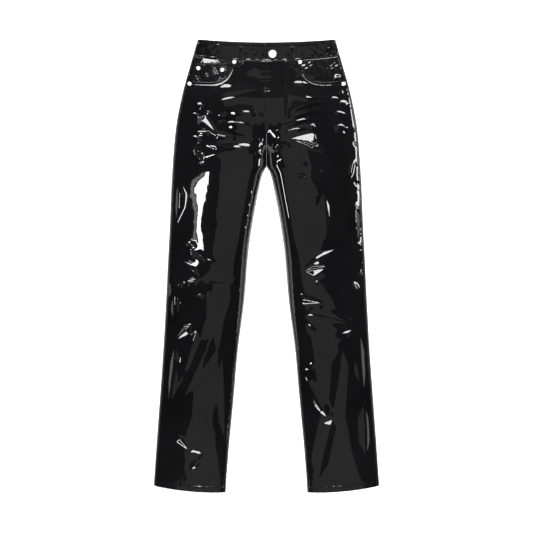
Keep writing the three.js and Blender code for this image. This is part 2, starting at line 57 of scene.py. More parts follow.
# Shape of the garment
# All sizes are in millimetres, apart from those of the flat cuts and of the stage. The frame
# is the CAD model's: +Y towards the waist, +X the wearer's left, +Z up from the surface.

LEATHER = 1.4
BAND_LEATHER = 3.0
LOOP_LEATHER = 1.6
SEAM_GAP = 0.3
LAYER = LEATHER + SEAM_GAP
LOOP_LAYER = LOOP_LEATHER + SEAM_GAP

CROTCH = 228.0
OUTLINE_COLUMNS = ("y", "side", "inner", "roll", "dome", "crest", "inner_power")
OUTLINE = (
    (520, 158.7, 0, 5.5, 4, 0.31, 6),
    (470, 172.6, 0, 5.8, 6, 0.31, 6),
    (420, 187, 0, 6.2, 11, 0.31, 6),
    (380, 196.8, 0, 6.5, 16, 0.31, 6),
    (335, 205.6, 0, 6.5, 18, 0.31, 6),
    (290, 211.2, 0, 6.5, 19, 0.31, 6),
    (228, 215.8, 0, 6.5, 20, 0.31, 6),
    (212, 216.8, 8.7, 6.5, 20, 0.31, 6),
    (173, 219, 17.7, 6.5, 20, 0.31, 6),
    (130, 220.6, 26, 6.5, 20, 0.31, 6),
    (79, 222.8, 34.6, 6.5, 19.5, 0.31, 6),
    (29, 225.6, 41.5, 6.5, 18.5, 0.33, 5),
    (-77, 230.7, 50.7, 6.5, 16.5, 0.4, 4),
    (-190, 237, 65.2, 6.5, 15, 0.45, 3),
    (-296, 244.4, 74.6, 6.3, 13, 0.48, 2.6),
    (-413, 253, 85.7, 5.8, 9.5, 0.5, 2.4),
    (-480, 257.6, 91.1, 5.2, 6, 0.5, 2.4),
    (-525, 260.5, 93.8, 4.5, 4, 0.5, 2.4),
)
OUTER_POWER = 2.0
HIP_DOME_POWER = 2.6
HIP_BLEND = (-30.0, 110.0)
VALLEY_DEPTH = 0.5
VALLEY_WIDTH = 26.0
VALLEY_TOP = 150.0

WAIST_REACH = 158.7
WAIST_EDGE = (512.2, 7.6)
WAIST_SEAM = (470.0, 11.0)
HEM_SIDE = (259.1, -504.0)
HEM_INNER = (93.3, -519.5)
HEM_BOW = 5.0
SEAM_INSET = 5.0
INSEAM_START = 25.0
YOKE_MIDDLE = 405.0
YOKE_SIDE = 440.0

FLY_EDGE = -3.15
FLY_BOTTOM = 300.0
FLY_TOP = 318.0
SHIELD_WIDTH = 42.0
SHIELD_BOTTOM = 335.0
SHIELD_RAMP = 4.0
SHIELD_HEIGHT = 1.2

MOUTH_COLUMNS = ("x", "y")
POCKET_MOUTH = (
    (182, 424),
    (143, 421),
    (119, 421),
    (101, 426),
    (88, 436),
    (80, 449),
    (76, 460),
    (74, 472.4),
)
POCKET_START = 74.0

# Creases of the front. Each runs from x0, y0 to x1, y1 with a bow to its left. It
# stands its height over the cloth, or lies under it when negative, falls away over the
# widths to its left and right, has a crest rounded by soft, and grows and fades over the
# shares fade0 and fade1 of its length.
FOLD_COLUMNS = ("x0", "y0", "x1", "y1", "bow", "height", "left", "right", "soft", "fade0", "fade1")
FOLDS = (
    # waistband
    (127, 497, 151, 498, 0, 0.62, 3.4, 3, 0.4, 0.3, 0.3),
    (127, 490, 150, 491, 0, 0.62, 3.4, 3, 0.4, 0.3, 0.3),
    (130, 483, 147, 484, 0, 0.62, 3.4, 3, 0.4, 0.4, 0.4),
    (-149, 484, -144, 504, 0, 0.7, 3, 3, 0.4, 0.4, 0.4),
    # pocket facings
    (-153, 464, -103, 465, 0, 2.4, 12, 3, 0.5, 0.15, 0.3),
    (152, 428, 173, 436, 0, 1.8, 8, 4, 0.5, 0.3, 0.4),
    # right hip
    (-105, 408, -80, 408, 0, 0.6, 5, 8, 0.8, 0.3, 0.3),
    (-140, 384, -14, 404, 4, 1.3, 40, 6, 1.5, 0.4, 0.4),
    (-110, 374, -60, 386, 0, 0.9, 5, 9, 1, 0.2, 0.5),
    (-160, 372, -145, 362, 0, 1.5, 7, 6, 1, 0.4, 0.2),
    (-142, 352, -122, 350, 0, 1, 4, 5, 0.8, 0.4, 0.4),
    (-112, 344, -90, 350, 0, 1.2, 5, 6, 0.8, 0.3, 0.3),
    (-120, 362, -14, 346, -3, 1.9, 18, 8, 1.2, 0.5, 0.2),
    (-20, 344, -8, 345, 0, 1.4, 5, 5, 0.8, 0.4, 0.4),
    (-110, 336, -12, 336, 3, 1.8, 15, 7, 1.2, 0.4, 0.3),
    (-172, 350, -148, 339, 0, 1.2, 5, 6, 0.8, 0.3, 0.3),
    (-158, 336, -108, 292, 2, 6.3, 16, 9, 1, 0.15, 0.85),
    (-165, 304, -128, 304, 0, 1.3, 5, 6, 0.8, 0.3, 0.2),
    (-116, 297, -78, 290, 0, 1.2, 4, 7, 0.8, 0.1, 0.4),
    (-80, 291, -25, 288, 0, 0.8, 8, 8, 1, 0.2, 0.2),
    (-106, 322, -14, 300, 6, 2, 16, 8, 1.2, 0.3, 0.2),
    (-100, 310, -12, 282, 6, 1.8, 14, 7, 1.2, 0.3, 0.2),
    (-172, 298, -150, 286, 0, 1.6, 6, 6, 0.8, 0.4, 0.1),
    (-172, 264, -146, 281, 0, 1.3, 5, 6, 0.8, 0.3, 0.7),
    (-170, 262, -146, 262, 0, 1.4, 5, 5, 0.8, 0.2, 0.3),
    (-174, 264, -146, 238, 0, 2, 7, 7, 0.8, 0.2, 0.2),
    (-140, 276, -16, 270, -3, 1.9, 16, 7, 1.2, 0.2, 0.3),
    (-70, 276, -10, 272, 0, 1, 8, 8, 1.5, 0.4, 0.1),
    (-138, 250, -18, 262, 4, 1.8, 14, 8, 1.2, 0.2, 0.2),
    (-98, 326, -30, 314, 4, 0.8, 8, 5, 1, 0.4, 0.3),
    (-96, 262, -22, 264, 2, 0.8, 8, 5, 1, 0.4, 0.2),
    # left hip
    (56, 418, 98, 416, 0, 0.6, 5, 8, 0.8, 0.3, 0.3),
    (40, 318, 140, 336, 5, 0.8, 8, 5, 1, 0.3, 0.4),
    (24, 294, 54, 296, 0, 0.7, 7, 5, 1, 0.2, 0.4),
    (174, 386, 172, 412, 2, 1.2, 6, 6, 0.8, 0.5, 0.5),
    (44, 392, 140, 384, -5, 1.3, 40, 6, 1.5, 0.3, 0.5),
    (144, 384, 170, 380, 0, 0.9, 5, 6, 0.8, 0.3, 0.3),
    (164, 374, 188, 372, 0, 1.4, 6, 6, 0.8, 0.3, 0.3),
    (42, 344, 138, 374, 8, 2, 18, 8, 1.2, 0.2, 0.4),
    (36, 328, 144, 354, 8, 2, 16, 7, 1.2, 0.2, 0.4),
    (152, 352, 192, 340, 2, 1.1, 5, 7, 0.8, 0.3, 0.4),
    (20, 306, 100, 334, 5, 1.8, 14, 7, 1.2, 0.2, 0.4),
    (38, 300, 92, 312, 4, 1.2, 4, 8, 0.8, 0.2, 0.4),
    (94, 318, 112, 320, 0, 1.6, 6, 6, 0.8, 0.5, 0.2),
    (46, 288, 118, 276, 2, 6, 26, 8, 1.2, 0.8, 0.2),
    (92, 280, 142, 254, 0, 3.6, 15, 7, 1, 0.3, 0.7),
    (152, 316, 192, 312, 4, 2, 9, 8, 0.8, 0.4, 0.6),
    (154, 314, 182, 302, 0, 1.2, 4, 6, 0.8, 0.3, 0.3),
    (176, 266, 178, 294, 0, 0.9, 6, 9, 0.8, 0.7, 0.3),
    (12, 278, 60, 270, 0, 1.8, 12, 6, 1, 0.1, 0.3),
    (12, 262, 46, 256, 0, 1.6, 8, 6, 1, 0.2, 0.4),
    # crotch
    (-30, 258, -6, 256, 0, 1.4, 5, 6, 0.8, 0.4, 0.2),
    (-14, 244, -6, 258, 0, 1.2, 5, 5, 0.8, 0.3, 0.3),
    (8, 270, 26, 260, 3, 1.4, 5, 6, 0.8, 0.3, 0.2),
    # left side edge
    (196, 318, 212, 304, 0, 1.3, 5, 4, 0.6, 0.4, 0.4),
    (198, 284, 216, 274, 0, -1.4, 4, 6, 0.6, 0.3, 0.5),
    (200, 240, 219, 226, 0, 1.5, 6, 4, 0.6, 0.5, 0.3),
    (199, 192, 221, 184, 0, -1.3, 5, 5, 0.6, 0.4, 0.4),
    (202, 138, 222, 120, 0, 1.4, 7, 4, 0.6, 0.3, 0.5),
    (204, 92, 224, 84, 0, -1.5, 5, 6, 0.6, 0.4, 0.3),
    (205, 56, 226, 40, 0, 1.3, 5, 5, 0.6, 0.5, 0.4),
    # left thigh
    (192, 198, 202, 248, 3, 1.6, 5, 5, 0.8, 0.3, 0.3),
    (78, 234, 92, 231, 0, 1.3, 5, 5, 0.8, 0.3, 0.3),
    (76, 214, 88, 196, 0, 1.6, 5, 8, 0.8, 0.3, 0.3),
    (122, 218, 134, 217, 0, 1.2, 4, 4, 0.8, 0.4, 0.4),
    (34, 254, 52, 214, 0, 1, 6, 10, 1, 0.2, 0.4),
    (90, 206, 124, 158, 4, 1.2, 16, 12, 2, 0.3, 0.3),
    (130, 170, 136, 60, 3, 2, 10, 14, 1.5, 0.3, 0.5),
    (204, 150, 210, 40, -2, 2.6, 7, 16, 1.2, 0.3, 0.4),
    # right thigh
    (-44, 158, -24, 172, 0, 1.1, 4, 4, 0.6, 0.4, 0.4),
    (-46, 130, -30, 142, 0, 1.1, 4, 4, 0.6, 0.4, 0.4),
    (-50, 104, -34, 118, 0, 1.1, 4, 4, 0.6, 0.5, 0.3),
    (-54, 78, -40, 92, 0, 1.1, 4, 4, 0.6, 0.4, 0.4),
    (-200, 200, -206, 90, 2, 2.4, 14, 6, 1.2, 0.3, 0.4),
    # right knee and shin
    (-186, 52, -158, 44, 0, 3, 9, 9, 1, 0.3, 0.3),
    (-164, 8, -176, 40, 0, 1.6, 8, 6, 0.8, 0.5, 0.2),
    (-164, 34, -112, 10, -4, -2, 9, 9, 1.2, 0.2, 0.4),
    (-152, -24, -196, 14, 0, 2.6, 20, 8, 1, 0.3, 0.7),
    (-186, -40, -150, -30, 0, 2.5, 6, 10, 1, 0.2, 0.4),
    (-222, -72, -186, -38, 8, 2.5, 12, 12, 2, 0.3, 0.3),
    (-150, -30, -60, -34, 4, -2, 10, 12, 1.5, 0.2, 0.3),
    (-150, -44, -56, -58, 4, 1.4, 10, 14, 1.5, 0.3, 0.3),
    (-155, -70, -144, -70, 0, 1.6, 5, 5, 0.8, 0.3, 0.3),
    (-172, -134, -212, -172, 0, 4.3, 14, 9, 1, 0.3, 0.7),
    (-120, -156, -190, -300, 0, 3, 16, 22, 2, 0.2, 0.3),
    (-158, -146, -200, -270, 0, 2.5, 12, 14, 2, 0.2, 0.3),
    (-208, -382, -174, -424, 0, 2.3, 8, 10, 1, 0.3, 0.7),
    (-176, -426, -144, -434, 0, -1, 8, 9, 1.2, 0.2, 0.3),
    (-142, -434, -176, -466, 0, 0.7, 9, 9, 1.2, 0.2, 0.3),
    (-212, -60, -214, -130, 2, 2.4, 14, 7, 1.2, 0.4, 0.4),
    (-208, -170, -226, -330, 3, 3, 18, 8, 1.5, 0.3, 0.4),
    (-100, -200, -92, -420, 2, 2, 10, 14, 2, 0.3, 0.3),
    # left knee and shin
    (214, -150, 224, -300, -3, 3, 8, 18, 1.5, 0.3, 0.4),
    (222, -310, 228, -440, 2, 3, 8, 16, 1.5, 0.3, 0.3),
    (82, -8, 168, 42, 2, 4, 9, 12, 1, 0.4, 0.4),
    (86, -12, 144, 0, 0, 6, 8, 16.5, 1, 0.35, 0.65),
    (112, -28, 144, -64, 0, 2, 10, 10, 1.2, 0.2, 0.3),
    (214, -28, 216, -8, 0, 1.6, 5, 5, 0.8, 0.3, 0.3),
    (196, -34, 212, -62, 0, 1.6, 6, 6, 0.8, 0.3, 0.3),
    (66, -70, 134, -84, 0, 4.4, 12, 13.5, 1, 0.3, 0.7),
    (96, -98, 132, -90, 0, 1.4, 4, 6, 0.8, 0.3, 0.3),
    (84, -108, 202, -138, 14, 1.3, 10, 10, 1.2, 0.12, 0.12),
    (84, -114, 202, -140, 2, -1.2, 9, 9, 1.2, 0.12, 0.12),
    (84, -120, 202, -142, -12, 1.3, 9, 9, 1.2, 0.12, 0.12),
    (86, -128, 200, -146, -28, -1.4, 10, 10, 1.5, 0.12, 0.12),
    (84, -236, 122, -216, 0, 1.2, 7, 7, 1, 0.2, 0.3),
    (84, -250, 142, -350, 0, 2, 12, 9, 1.2, 0.15, 0.2),
    (90, -274, 126, -336, 0, 1, 4, 5, 0.8, 0.3, 0.3),
    (172, -190, 152, -350, 2, -2, 18, 20, 2, 0.2, 0.1),
    (150, -350, 120, -490, -4, -2, 16, 20, 2, 0.1, 0.3),
)
FOLD_EDGE = (1.0, 9.0)
FOOT_SHARE = 0.1
FOLD_TIP = 0.02


def smoothstep(value, low, high):
    t = np.clip((value - low) / (high - low), 0.0, 1.0)
    return t * t * (3.0 - 2.0 * t)


def lerp(a, b, t):
    return a + (b - a) * t


def table_curve(rows, columns, key, column):
    """A smooth curve through one column of a table whose key falls from row to row: cubic
    pieces whose slopes at a row are those of the line between its two neighbours."""
    table = np.array(rows, float)[::-1]
    keys, values = table[:, columns.index(key)], table[:, columns.index(column)]
    before = np.maximum(np.arange(len(keys)) - 1, 0)
    after = np.minimum(np.arange(len(keys)) + 1, len(keys) - 1)
    slopes = (values[after] - values[before]) / (keys[after] - keys[before])

    def read(at):
        at = np.clip(at, keys[0], keys[-1])
        k = np.clip(np.searchsorted(keys, at, side="right") - 1, 0, len(keys) - 2)
        span = keys[k + 1] - keys[k]
        t = (at - keys[k]) / span
        slope = (values[k + 1] - values[k]) / span
        bend = (1 - t) * (slopes[k] - slope) - t * (slopes[k + 1] - slope)
        return values[k] + t * span * slope + t * (1 - t) * span * bend

    return read


def outline_curve(column):
    return table_curve(OUTLINE, OUTLINE_COLUMNS, "y", column)


side_edge = outline_curve("side")
roll_radius = outline_curve("roll")
dome_rise = outline_curve("dome")
crest_share = outline_curve("crest")
inner_power = outline_curve("inner_power")
leg_inner = table_curve([row for row in OUTLINE if row[0] <= CROTCH], OUTLINE_COLUMNS, "y", "inner")
mouth_height = table_curve(POCKET_MOUTH, MOUTH_COLUMNS, "x", "y")


def inner_edge(y):
    return np.where(y >= CROTCH, 0.0, leg_inner(np.minimum(y, CROTCH)))


def pocket_mouth(x):
    return mouth_height(np.abs(x))


def waist_edge(x):
    return WAIST_EDGE[0] + WAIST_EDGE[1] * (x / WAIST_REACH) ** 2


def waist_seam(x):
    return WAIST_SEAM[0] + WAIST_SEAM[1] * (x / WAIST_REACH) ** 2


def hem_line(x):
    across = (HEM_SIDE[0] - np.abs(x)) / (HEM_SIDE[0] - HEM_INNER[0])
    return lerp(HEM_SIDE[1], HEM_INNER[1], across) - HEM_BOW * 4 * across * (1 - across)


def fly_edge(y):
    return FLY_EDGE * smoothstep(y, FLY_BOTTOM, FLY_TOP)


def edge_distance(x, y):
    """How far a point of the plan lies inside the outline, the crotch's round end included."""
    from_side = side_edge(y) - np.abs(x)
    from_inner = np.where(y < CROTCH, np.abs(x) - inner_edge(y), np.hypot(x, y - CROTCH))
    return np.minimum(from_side, from_inner)


def dome_height(x, y):
    """How far the front stands over the rolled edges: over each leg a crest from which it
    falls as a parabola to the side edge and as a higher power to the inner edge, joining
    into one dome over the hips with a soft valley above the crotch."""
    ax = np.abs(x)
    inner = inner_edge(y)
    across = np.clip((ax - inner) / (side_edge(y) - inner), 0.0, 1.0)
    crest = crest_share(y)
    outward = np.clip((across - crest) / (1 - crest), 0.0, 1.0) ** OUTER_POWER
    inward = np.clip((crest - across) / crest, 0.0, 1.0) ** inner_power(y)
    leg = 1 - outward - inward
    hip = 1 - across**HIP_DOME_POWER
    hip_share = smoothstep(y, CROTCH + HIP_BLEND[0], CROTCH + HIP_BLEND[1])
    fade = 1 - smoothstep(y, CROTCH, CROTCH + VALLEY_TOP)
    valley = VALLEY_DEPTH * np.exp(-((ax / VALLEY_WIDTH) ** 2)) * fade
    return dome_rise(y) * lerp(leg, hip * (1 - valley), hip_share)


def fold_height(fold, x, y):
    """Height of one crease: a roof with flat flanks that narrows to a point at both ends,
    rounded at its ridge and its feet. Its size grows in proportion over fade0 and shrinks
    over fade1, so a flank keeps one slope. With d the distance from its bowed line and
    e = sqrt(d^2 + soft^2) - soft, the roof is foot * ln(1 + exp((width - e) / foot)) / width."""
    f = dict(zip(FOLD_COLUMNS, fold))
    dx, dy = f["x1"] - f["x0"], f["y1"] - f["y0"]
    length = math.hypot(dx, dy)
    along = ((x - f["x0"]) * dx + (y - f["y0"]) * dy) / length**2
    bow = f["bow"] * 4 * along * (1 - along)
    across = ((y - f["y0"]) * dx - (x - f["x0"]) * dy) / length - bow
    size = np.clip(np.minimum(along / f["fade0"], (1 - along) / f["fade1"]), 0, 1)
    width = np.where(across > 0, f["left"], f["right"]) * np.maximum(size, FOLD_TIP)
    soft = f["soft"] * size
    eased = np.hypot(across, soft) - soft
    foot = FOOT_SHARE * width
    fall = foot * np.logaddexp(0, (width - eased) / foot) / width
    return f["height"] * fall * size


RIPPLE_SEED = 7
RIPPLE_WAVES = 36
RIPPLE_SPREAD = (0.7, 1.6)
# Wave length and height
RIPPLES = (
    (110.0, 0.35),
    (60.0, 0.08),
    (22.0, 0.008),
)


def ripple_height(x, y):
    """Slight unevenness of the whole sheet: for each row of RIPPLES a sum of even waves in
    seeded directions, of about its wave length."""
    draw = np.random.default_rng(RIPPLE_SEED)
    total = np.zeros(np.shape(x))
    for length, height in RIPPLES:
        for _ in range(RIPPLE_WAVES):
            angle, wave = draw.uniform(0, 2 * math.pi), length * draw.uniform(*RIPPLE_SPREAD)
            phase = draw.uniform(0, 2 * math.pi)
            way = x * math.cos(angle) + y * math.sin(angle)
            total += height * np.sin(2 * math.pi * way / wave + phase) / math.sqrt(RIPPLE_WAVES / 2)
    return total


def cover_height(x, y):
    """Height of the front over the top of its rolled edges."""
    fade = smoothstep(edge_distance(x, y), *FOLD_EDGE)
    folds = sum(fold_height(fold, x, y) for fold in FOLDS)
    return dome_height(x, y) + fade * (folds + ripple_height(x, y))


def lay(x, y, on_top, raised=0.0):
    """Height z of the garment's outside over a point of the plan: quarter rounds at the
    rolled edges, the cover over them on top, flat or raised underneath."""
    roll = roll_radius(y)
    a = np.maximum(roll - np.maximum(edge_distance(x, y), 0.0), 0.0)
    q = np.sqrt(np.maximum(roll**2 - a**2, 0.0))
    return np.where(on_top, roll + q + cover_height(x, y), roll - q + raised)


EDGE_STEP = 0.02
SLOPE_STEP = 0.5
SETTLE_STEPS = 6
CLOTH_EDGE = (0.25, 0.6, 1.0, 1.6)
LEG_FADE = 10.0
BACK_SHARES = (0.25, 0.67)


def outside(x, y, on_top=True, raised=0.0):
    """Points and unit normals of the garment's outside over arrays of plan points. Across a
    rolled edge of radius r, a is the way from its axis in plan and q = sqrt(r^2 - a^2) the
    way up, so the normal leans out by a and up by q, less q times the slope of the cover."""
    roll = roll_radius(y)
    a = np.maximum(roll - np.maximum(edge_distance(x, y), 0.0), 0.0)
    q = np.sqrt(np.maximum(roll**2 - a**2, 0.0))
    edge_x = edge_distance(x + EDGE_STEP, y) - edge_distance(x - EDGE_STEP, y)
    edge_y = edge_distance(x, y + EDGE_STEP) - edge_distance(x, y - EDGE_STEP)
    slope_x = cover_height(x + SLOPE_STEP, y) - cover_height(x - SLOPE_STEP, y)
    slope_y = cover_height(x, y + SLOPE_STEP) - cover_height(x, y - SLOPE_STEP)
    up = q * on_top / (2 * SLOPE_STEP)
    normal = np.stack([
        -a * edge_x / (2 * EDGE_STEP) - up * slope_x,
        -a * edge_y / (2 * EDGE_STEP) - up * slope_y,
        np.where(on_top, q, -q),
    ], axis=-1)
    normal /= np.linalg.norm(normal, axis=-1, keepdims=True)
    return np.stack([x, y, lay(x, y, on_top, raised)], axis=-1), normal


def arc_of(plan, roll):
    """Way round a rolled edge from its outermost line to a place that far inside it in plan."""
    turned_by = np.arccos(np.clip(1 - plan / roll, -1, 1))
    return np.where(plan < roll, roll * turned_by, roll * (math.pi / 2 - 1) + plan)


def plan_of(arc, roll):
    """The inverse of arc_of."""
    return np.where(arc < roll * math.pi / 2, roll * (1 - np.cos(arc / roll)),
                    arc - roll * (math.pi / 2 - 1))


def settle(x_at, line, guess):
    """Height y where columns meet a line that depends on their x, by repeated steps."""
    y = guess
    for _ in range(SETTLE_STEPS):
        y = line(x_at(y))
    return y


def stations(count, length, edge=CLOTH_EDGE):
    """Shares from 0 to 1 of a way: even steps, and closer ones at these distances in
    millimetres from both ends, where a turned edge is round."""
    near = np.array(edge) / length
    even = np.linspace(near[-1], 1 - near[-1], count - 2 * len(near))
    return np.concatenate([[0.0], near[:-1], even, 1 - near[:-1][::-1], [1.0]])


def leg_share(y):
    """1 on the legs, 0 on the hips, with a short change below the crotch."""
    return 1 - smoothstep(y, CROTCH - LEG_FADE, CROTCH)


def seam_inset(y):
    return SEAM_INSET * (1 - smoothstep(y, CROTCH - INSEAM_START, CROTCH))


def front_x(side, u, y):
    """x of the front panel at a share u of its width, from the fly or the inseam to the side
    seam. Both seams lie SEAM_INSET inside the outline, on the roll."""
    middle = SEAM_GAP / 2 + side * fly_edge(y)
    inner = np.where(y >= CROTCH, middle, inner_edge(y) + seam_inset(y) + SEAM_GAP / 2)
    return side * lerp(inner, side_edge(y) - SEAM_INSET - SEAM_GAP / 2, u)


def front_top(x):
    seam = waist_seam(x) - SEAM_GAP / 2
    return np.where(np.abs(x) < POCKET_START, seam, np.minimum(pocket_mouth(x), seam))


def back_place(side, u, y):
    """x and side of the cloth at a share u of the back panel's section, which runs round the
    inner edge, under the leg and round the side edge. A quarter of the columns rounds the
    inner edge and a third the side edge and its curl."""
    roll, legs = roll_radius(y), leg_share(y)
    start = np.where(y >= CROTCH, SEAM_GAP / 2, inner_edge(y))
    quarter = roll * math.pi / 2
    total = side_edge(y) - start + (1 + legs) * (quarter - roll)
    inner_seam = np.where(y >= CROTCH, 0.0, arc_of(seam_inset(y), roll) - SEAM_GAP / 2)
    outer_seam = arc_of(SEAM_INSET, roll) - SEAM_GAP / 2
    stops = [-inner_seam, quarter, total - quarter, total + outer_seam]
    first, last = BACK_SHARES
    arc = np.where(u < first, lerp(stops[0], stops[1], u / first),
                   np.where(u < last, lerp(stops[1], stops[2], (u - first) / (last - first)),
                            lerp(stops[2], stops[3], (u - last) / (1 - last))))
    inward = start + lerp(np.abs(arc), plan_of(np.abs(arc), roll), legs)
    outward = side_edge(y) - plan_of(np.abs(total - arc), roll)
    return side * np.where(total - arc < np.maximum(total / 2, quarter), outward, inward), \
        (arc < 0) | (arc > total)


def yoke_seam(side, u):
    """Height of the yoke seam on each column: it stays level where it comes over the edge."""
    edge = side_edge(YOKE_SIDE)

    def seam(x):
        return lerp(YOKE_MIDDLE, YOKE_SIDE, np.minimum(np.abs(x) / edge, 1))

    over = back_place(side, u, np.full_like(u, YOKE_SIDE))[1]
    return settle(lambda y: back_place(side, u, y)[0], lambda x: seam(np.where(over, edge, x)),
                  np.full_like(u, YOKE_SIDE))


# Relief of the panels, outward along the normal

# Each stitched seam: depth and reach of its groove, pitch and seed of the puckers beside it
SEAMS = {
    "hem": (0.22, 2.0, 9, 11),
    "side seam": (0.3, 3.0, 13, 12),
    "inseam": (0.39, 4.0, 17, 15),
    "pocket mouth": (0.35, 3.0, 8, 18),
    "rise": (0.25, 3.0, 10, 21),
    "waist": (0.3, 4.0, 7, 23),
    "back hem": (0.3, 2.0, 9, 31),
    "back seams": (0.25, 3.0, 11, 33),
    "waistband top": (0.3, 2.0, 12, 41),
    "waistband bottom": (0.3, 2.0, 11, 42),
    "coin pocket top": (0.3, 3.0, 7, 63),
}
# The two waves that crinkle a small sheet: shares of x and y, pitch and seed
CRINKLES = {
    "waistband": ((1, 0.4, 23, 43), (0, 1, 31, 44)),
    "facing": ((1, -0.6, 16, 51), (0, 1, 21, 52)),
    "coin pocket": ((1, 0.5, 7.5, 61), (-0.4, 1, 9, 62)),
}
WAVE_DRIFT = (2.3, 4.1)
WAVE_WANDER = 1.4
WAVE_SWELL = 0.4
PUCKER_SPREAD = 2.5
PUCKER_SHARE = 0.5

ROW_INSETS = (2.0, 8.0)
ROW_MIDDLE = sum(ROW_INSETS) / 2
HEM_STITCH = 12.0
RISE_BESIDE = 4.0
INSEAM_SLANT = 0.7
FAR = 60.0
J_TOP, J_TURN, J_BOTTOM = 468.0, 358.0, 318.0
J_OUT = 49.5
J_CLEAR = 1.0
J_POINTS = (60, 40)


def uneven_wave(along, pitch, seed):
    """A wave of about this pitch along a seam, whose length and height wander."""
    draw = np.random.default_rng(seed)
    shift, slow = draw.uniform(0, 2 * math.pi, 3), draw.uniform(*WAVE_DRIFT, 2) * pitch
    wander = WAVE_WANDER * np.sin(2 * math.pi * along / slow[0] + shift[0])
    swell = 1 - WAVE_SWELL * (1 - np.sin(2 * math.pi * along / slow[1] + shift[1]))
    return swell * np.sin(2 * math.pi * along / pitch + wander + shift[2])


def puckers(seam, distance, along, side=0):
    """A stitched groove with puckers beside it: -depth * exp(-(d/reach)^2), and waves of
    PUCKER_SHARE of its depth that fade over PUCKER_SPREAD times its reach."""
    depth, reach, pitch, seed = SEAMS[seam]
    groove = np.exp(-((distance / reach) ** 2))
    beside = np.exp(-((distance / (PUCKER_SPREAD * reach)) ** 2))
    waves = PUCKER_SHARE * uneven_wave(along, pitch, seed + side)
    return depth * (waves * beside - groove)


def crinkle(sheet, x, y):
    """Two uneven waves multiplied, each along its own shares of x and y."""
    first, second = (uneven_wave(a * x + b * y, pitch, seed)
                     for a, b, pitch, seed in CRINKLES[sheet])
    return first * second


def fly_shield(side, x, y):
    """The left front is doubled behind the fly, and stands a little proud there."""
    beyond = np.maximum(smoothstep(x, SHIELD_WIDTH, SHIELD_WIDTH + SHIELD_RAMP),
                        1 - smoothstep(y, SHIELD_BOTTOM - SHIELD_RAMP, SHIELD_BOTTOM))
    return SHIELD_HEIGHT * (1 - beyond) * (side > 0)


def j_line(inset):
    """The fly's J: straight down a line and round to the fly edge, as x and y of a path."""
    straight = J_OUT - inset
    down = np.linspace(J_TOP, J_TURN, J_POINTS[0])
    turn = np.linspace(0, math.pi / 2, J_POINTS[1])[1:]
    reach = (straight - J_CLEAR, J_TURN - J_BOTTOM - inset)
    x = np.concatenate([np.full_like(down, straight), straight - reach[0] * (1 - np.cos(turn))])
    y = np.concatenate([down, J_TURN - reach[1] * np.sin(turn)])
    return x, y


def front_relief(side, x, y):
    """Seam and stitch relief of a front panel."""
    ax = np.abs(x)
    hem = puckers("hem", y - hem_line(x) - HEM_STITCH, ax)
    side_seam = puckers("side seam", side_edge(y) - SEAM_INSET - ax, y, side)
    inseam_way = np.where(y < CROTCH, ax - inner_edge(y) - seam_inset(y), FAR)
    inseam = puckers("inseam", inseam_way, y + INSEAM_SLANT * ax, side)
    mouth = np.where(ax > POCKET_START, pocket_mouth(x) - y, FAR)
    pocket = puckers("pocket mouth", mouth - ROW_MIDDLE, ax, side)
    rise = puckers("rise", x - RISE_BESIDE * side, y) * (y > CROTCH)
    waist = puckers("waist", waist_seam(x) - y, ax)
    return hem + side_seam + inseam + pocket + rise + waist


# Meshes


def outward(points, faces):
    """The faces turned so that the closed form they make holds a positive volume."""
    a, b, c = (points[faces[:, k]] for k in range(3))
    volume = np.einsum("ij,ij->", a, np.cross(b, c))
    if faces.shape[1] == 4:
        d = points[faces[:, 3]]
        volume += np.einsum("ij,ij->", a, np.cross(c, d))
    return faces if volume > 0 else faces[:, ::-1]


CLOTH_SHARP, STITCH_SHARP, METAL_SHARP = 60, 80, 40
EASE_ROUNDS = 4
EASE_SHARE = 0.5
INNER_SINK = 0.6
LEAST_WALL = 0.5


def make_piece(name, points, faces, material, sharp=CLOTH_SHARP):
    """An object at the origin, with points in millimetres turned to metres."""
    mesh = bpy.data.meshes.new(name)
    mesh.from_pydata(points * MM, [], faces)
    mesh.polygons.foreach_set("use_smooth", np.ones(len(faces), bool))
    mesh.set_sharp_from_angle(angle=math.radians(sharp))
    mesh.materials.append(material)
    mesh.validate()
    piece = bpy.data.objects.new(name, mesh)
    bpy.context.scene.collection.objects.link(piece)
    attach(piece, "root")
    return piece


def from_borders(points):
    """Distance over the surface from the nearest border of a grid of points."""
    def ways(axis):
        steps = np.linalg.norm(np.diff(points, axis=axis), axis=-1)
        way = np.cumsum(steps, axis=axis)
        way = np.concatenate([np.zeros_like(np.take(way, [0], axis)), way], axis=axis)
        return np.minimum(way, np.take(way, [-1], axis) - way)

    return np.minimum(ways(0), ways(1))


def grid_faces(columns, rows, start=0, flip=False):
    at = start + np.arange(columns * rows).reshape(columns, rows)
    corners = [at[:-1, :-1], at[1:, :-1], at[1:, 1:], at[:-1, 1:]]
    return np.stack(corners[::-1] if flip else corners, axis=-1).reshape(-1, 4)


def border(columns, rows):
    """The grid points round a border, in order."""
    at = np.arange(columns * rows).reshape(columns, rows)
    return np.concatenate([at[:-1, 0], at[-1, :-1], at[:0:-1, -1], at[0, :0:-1]])


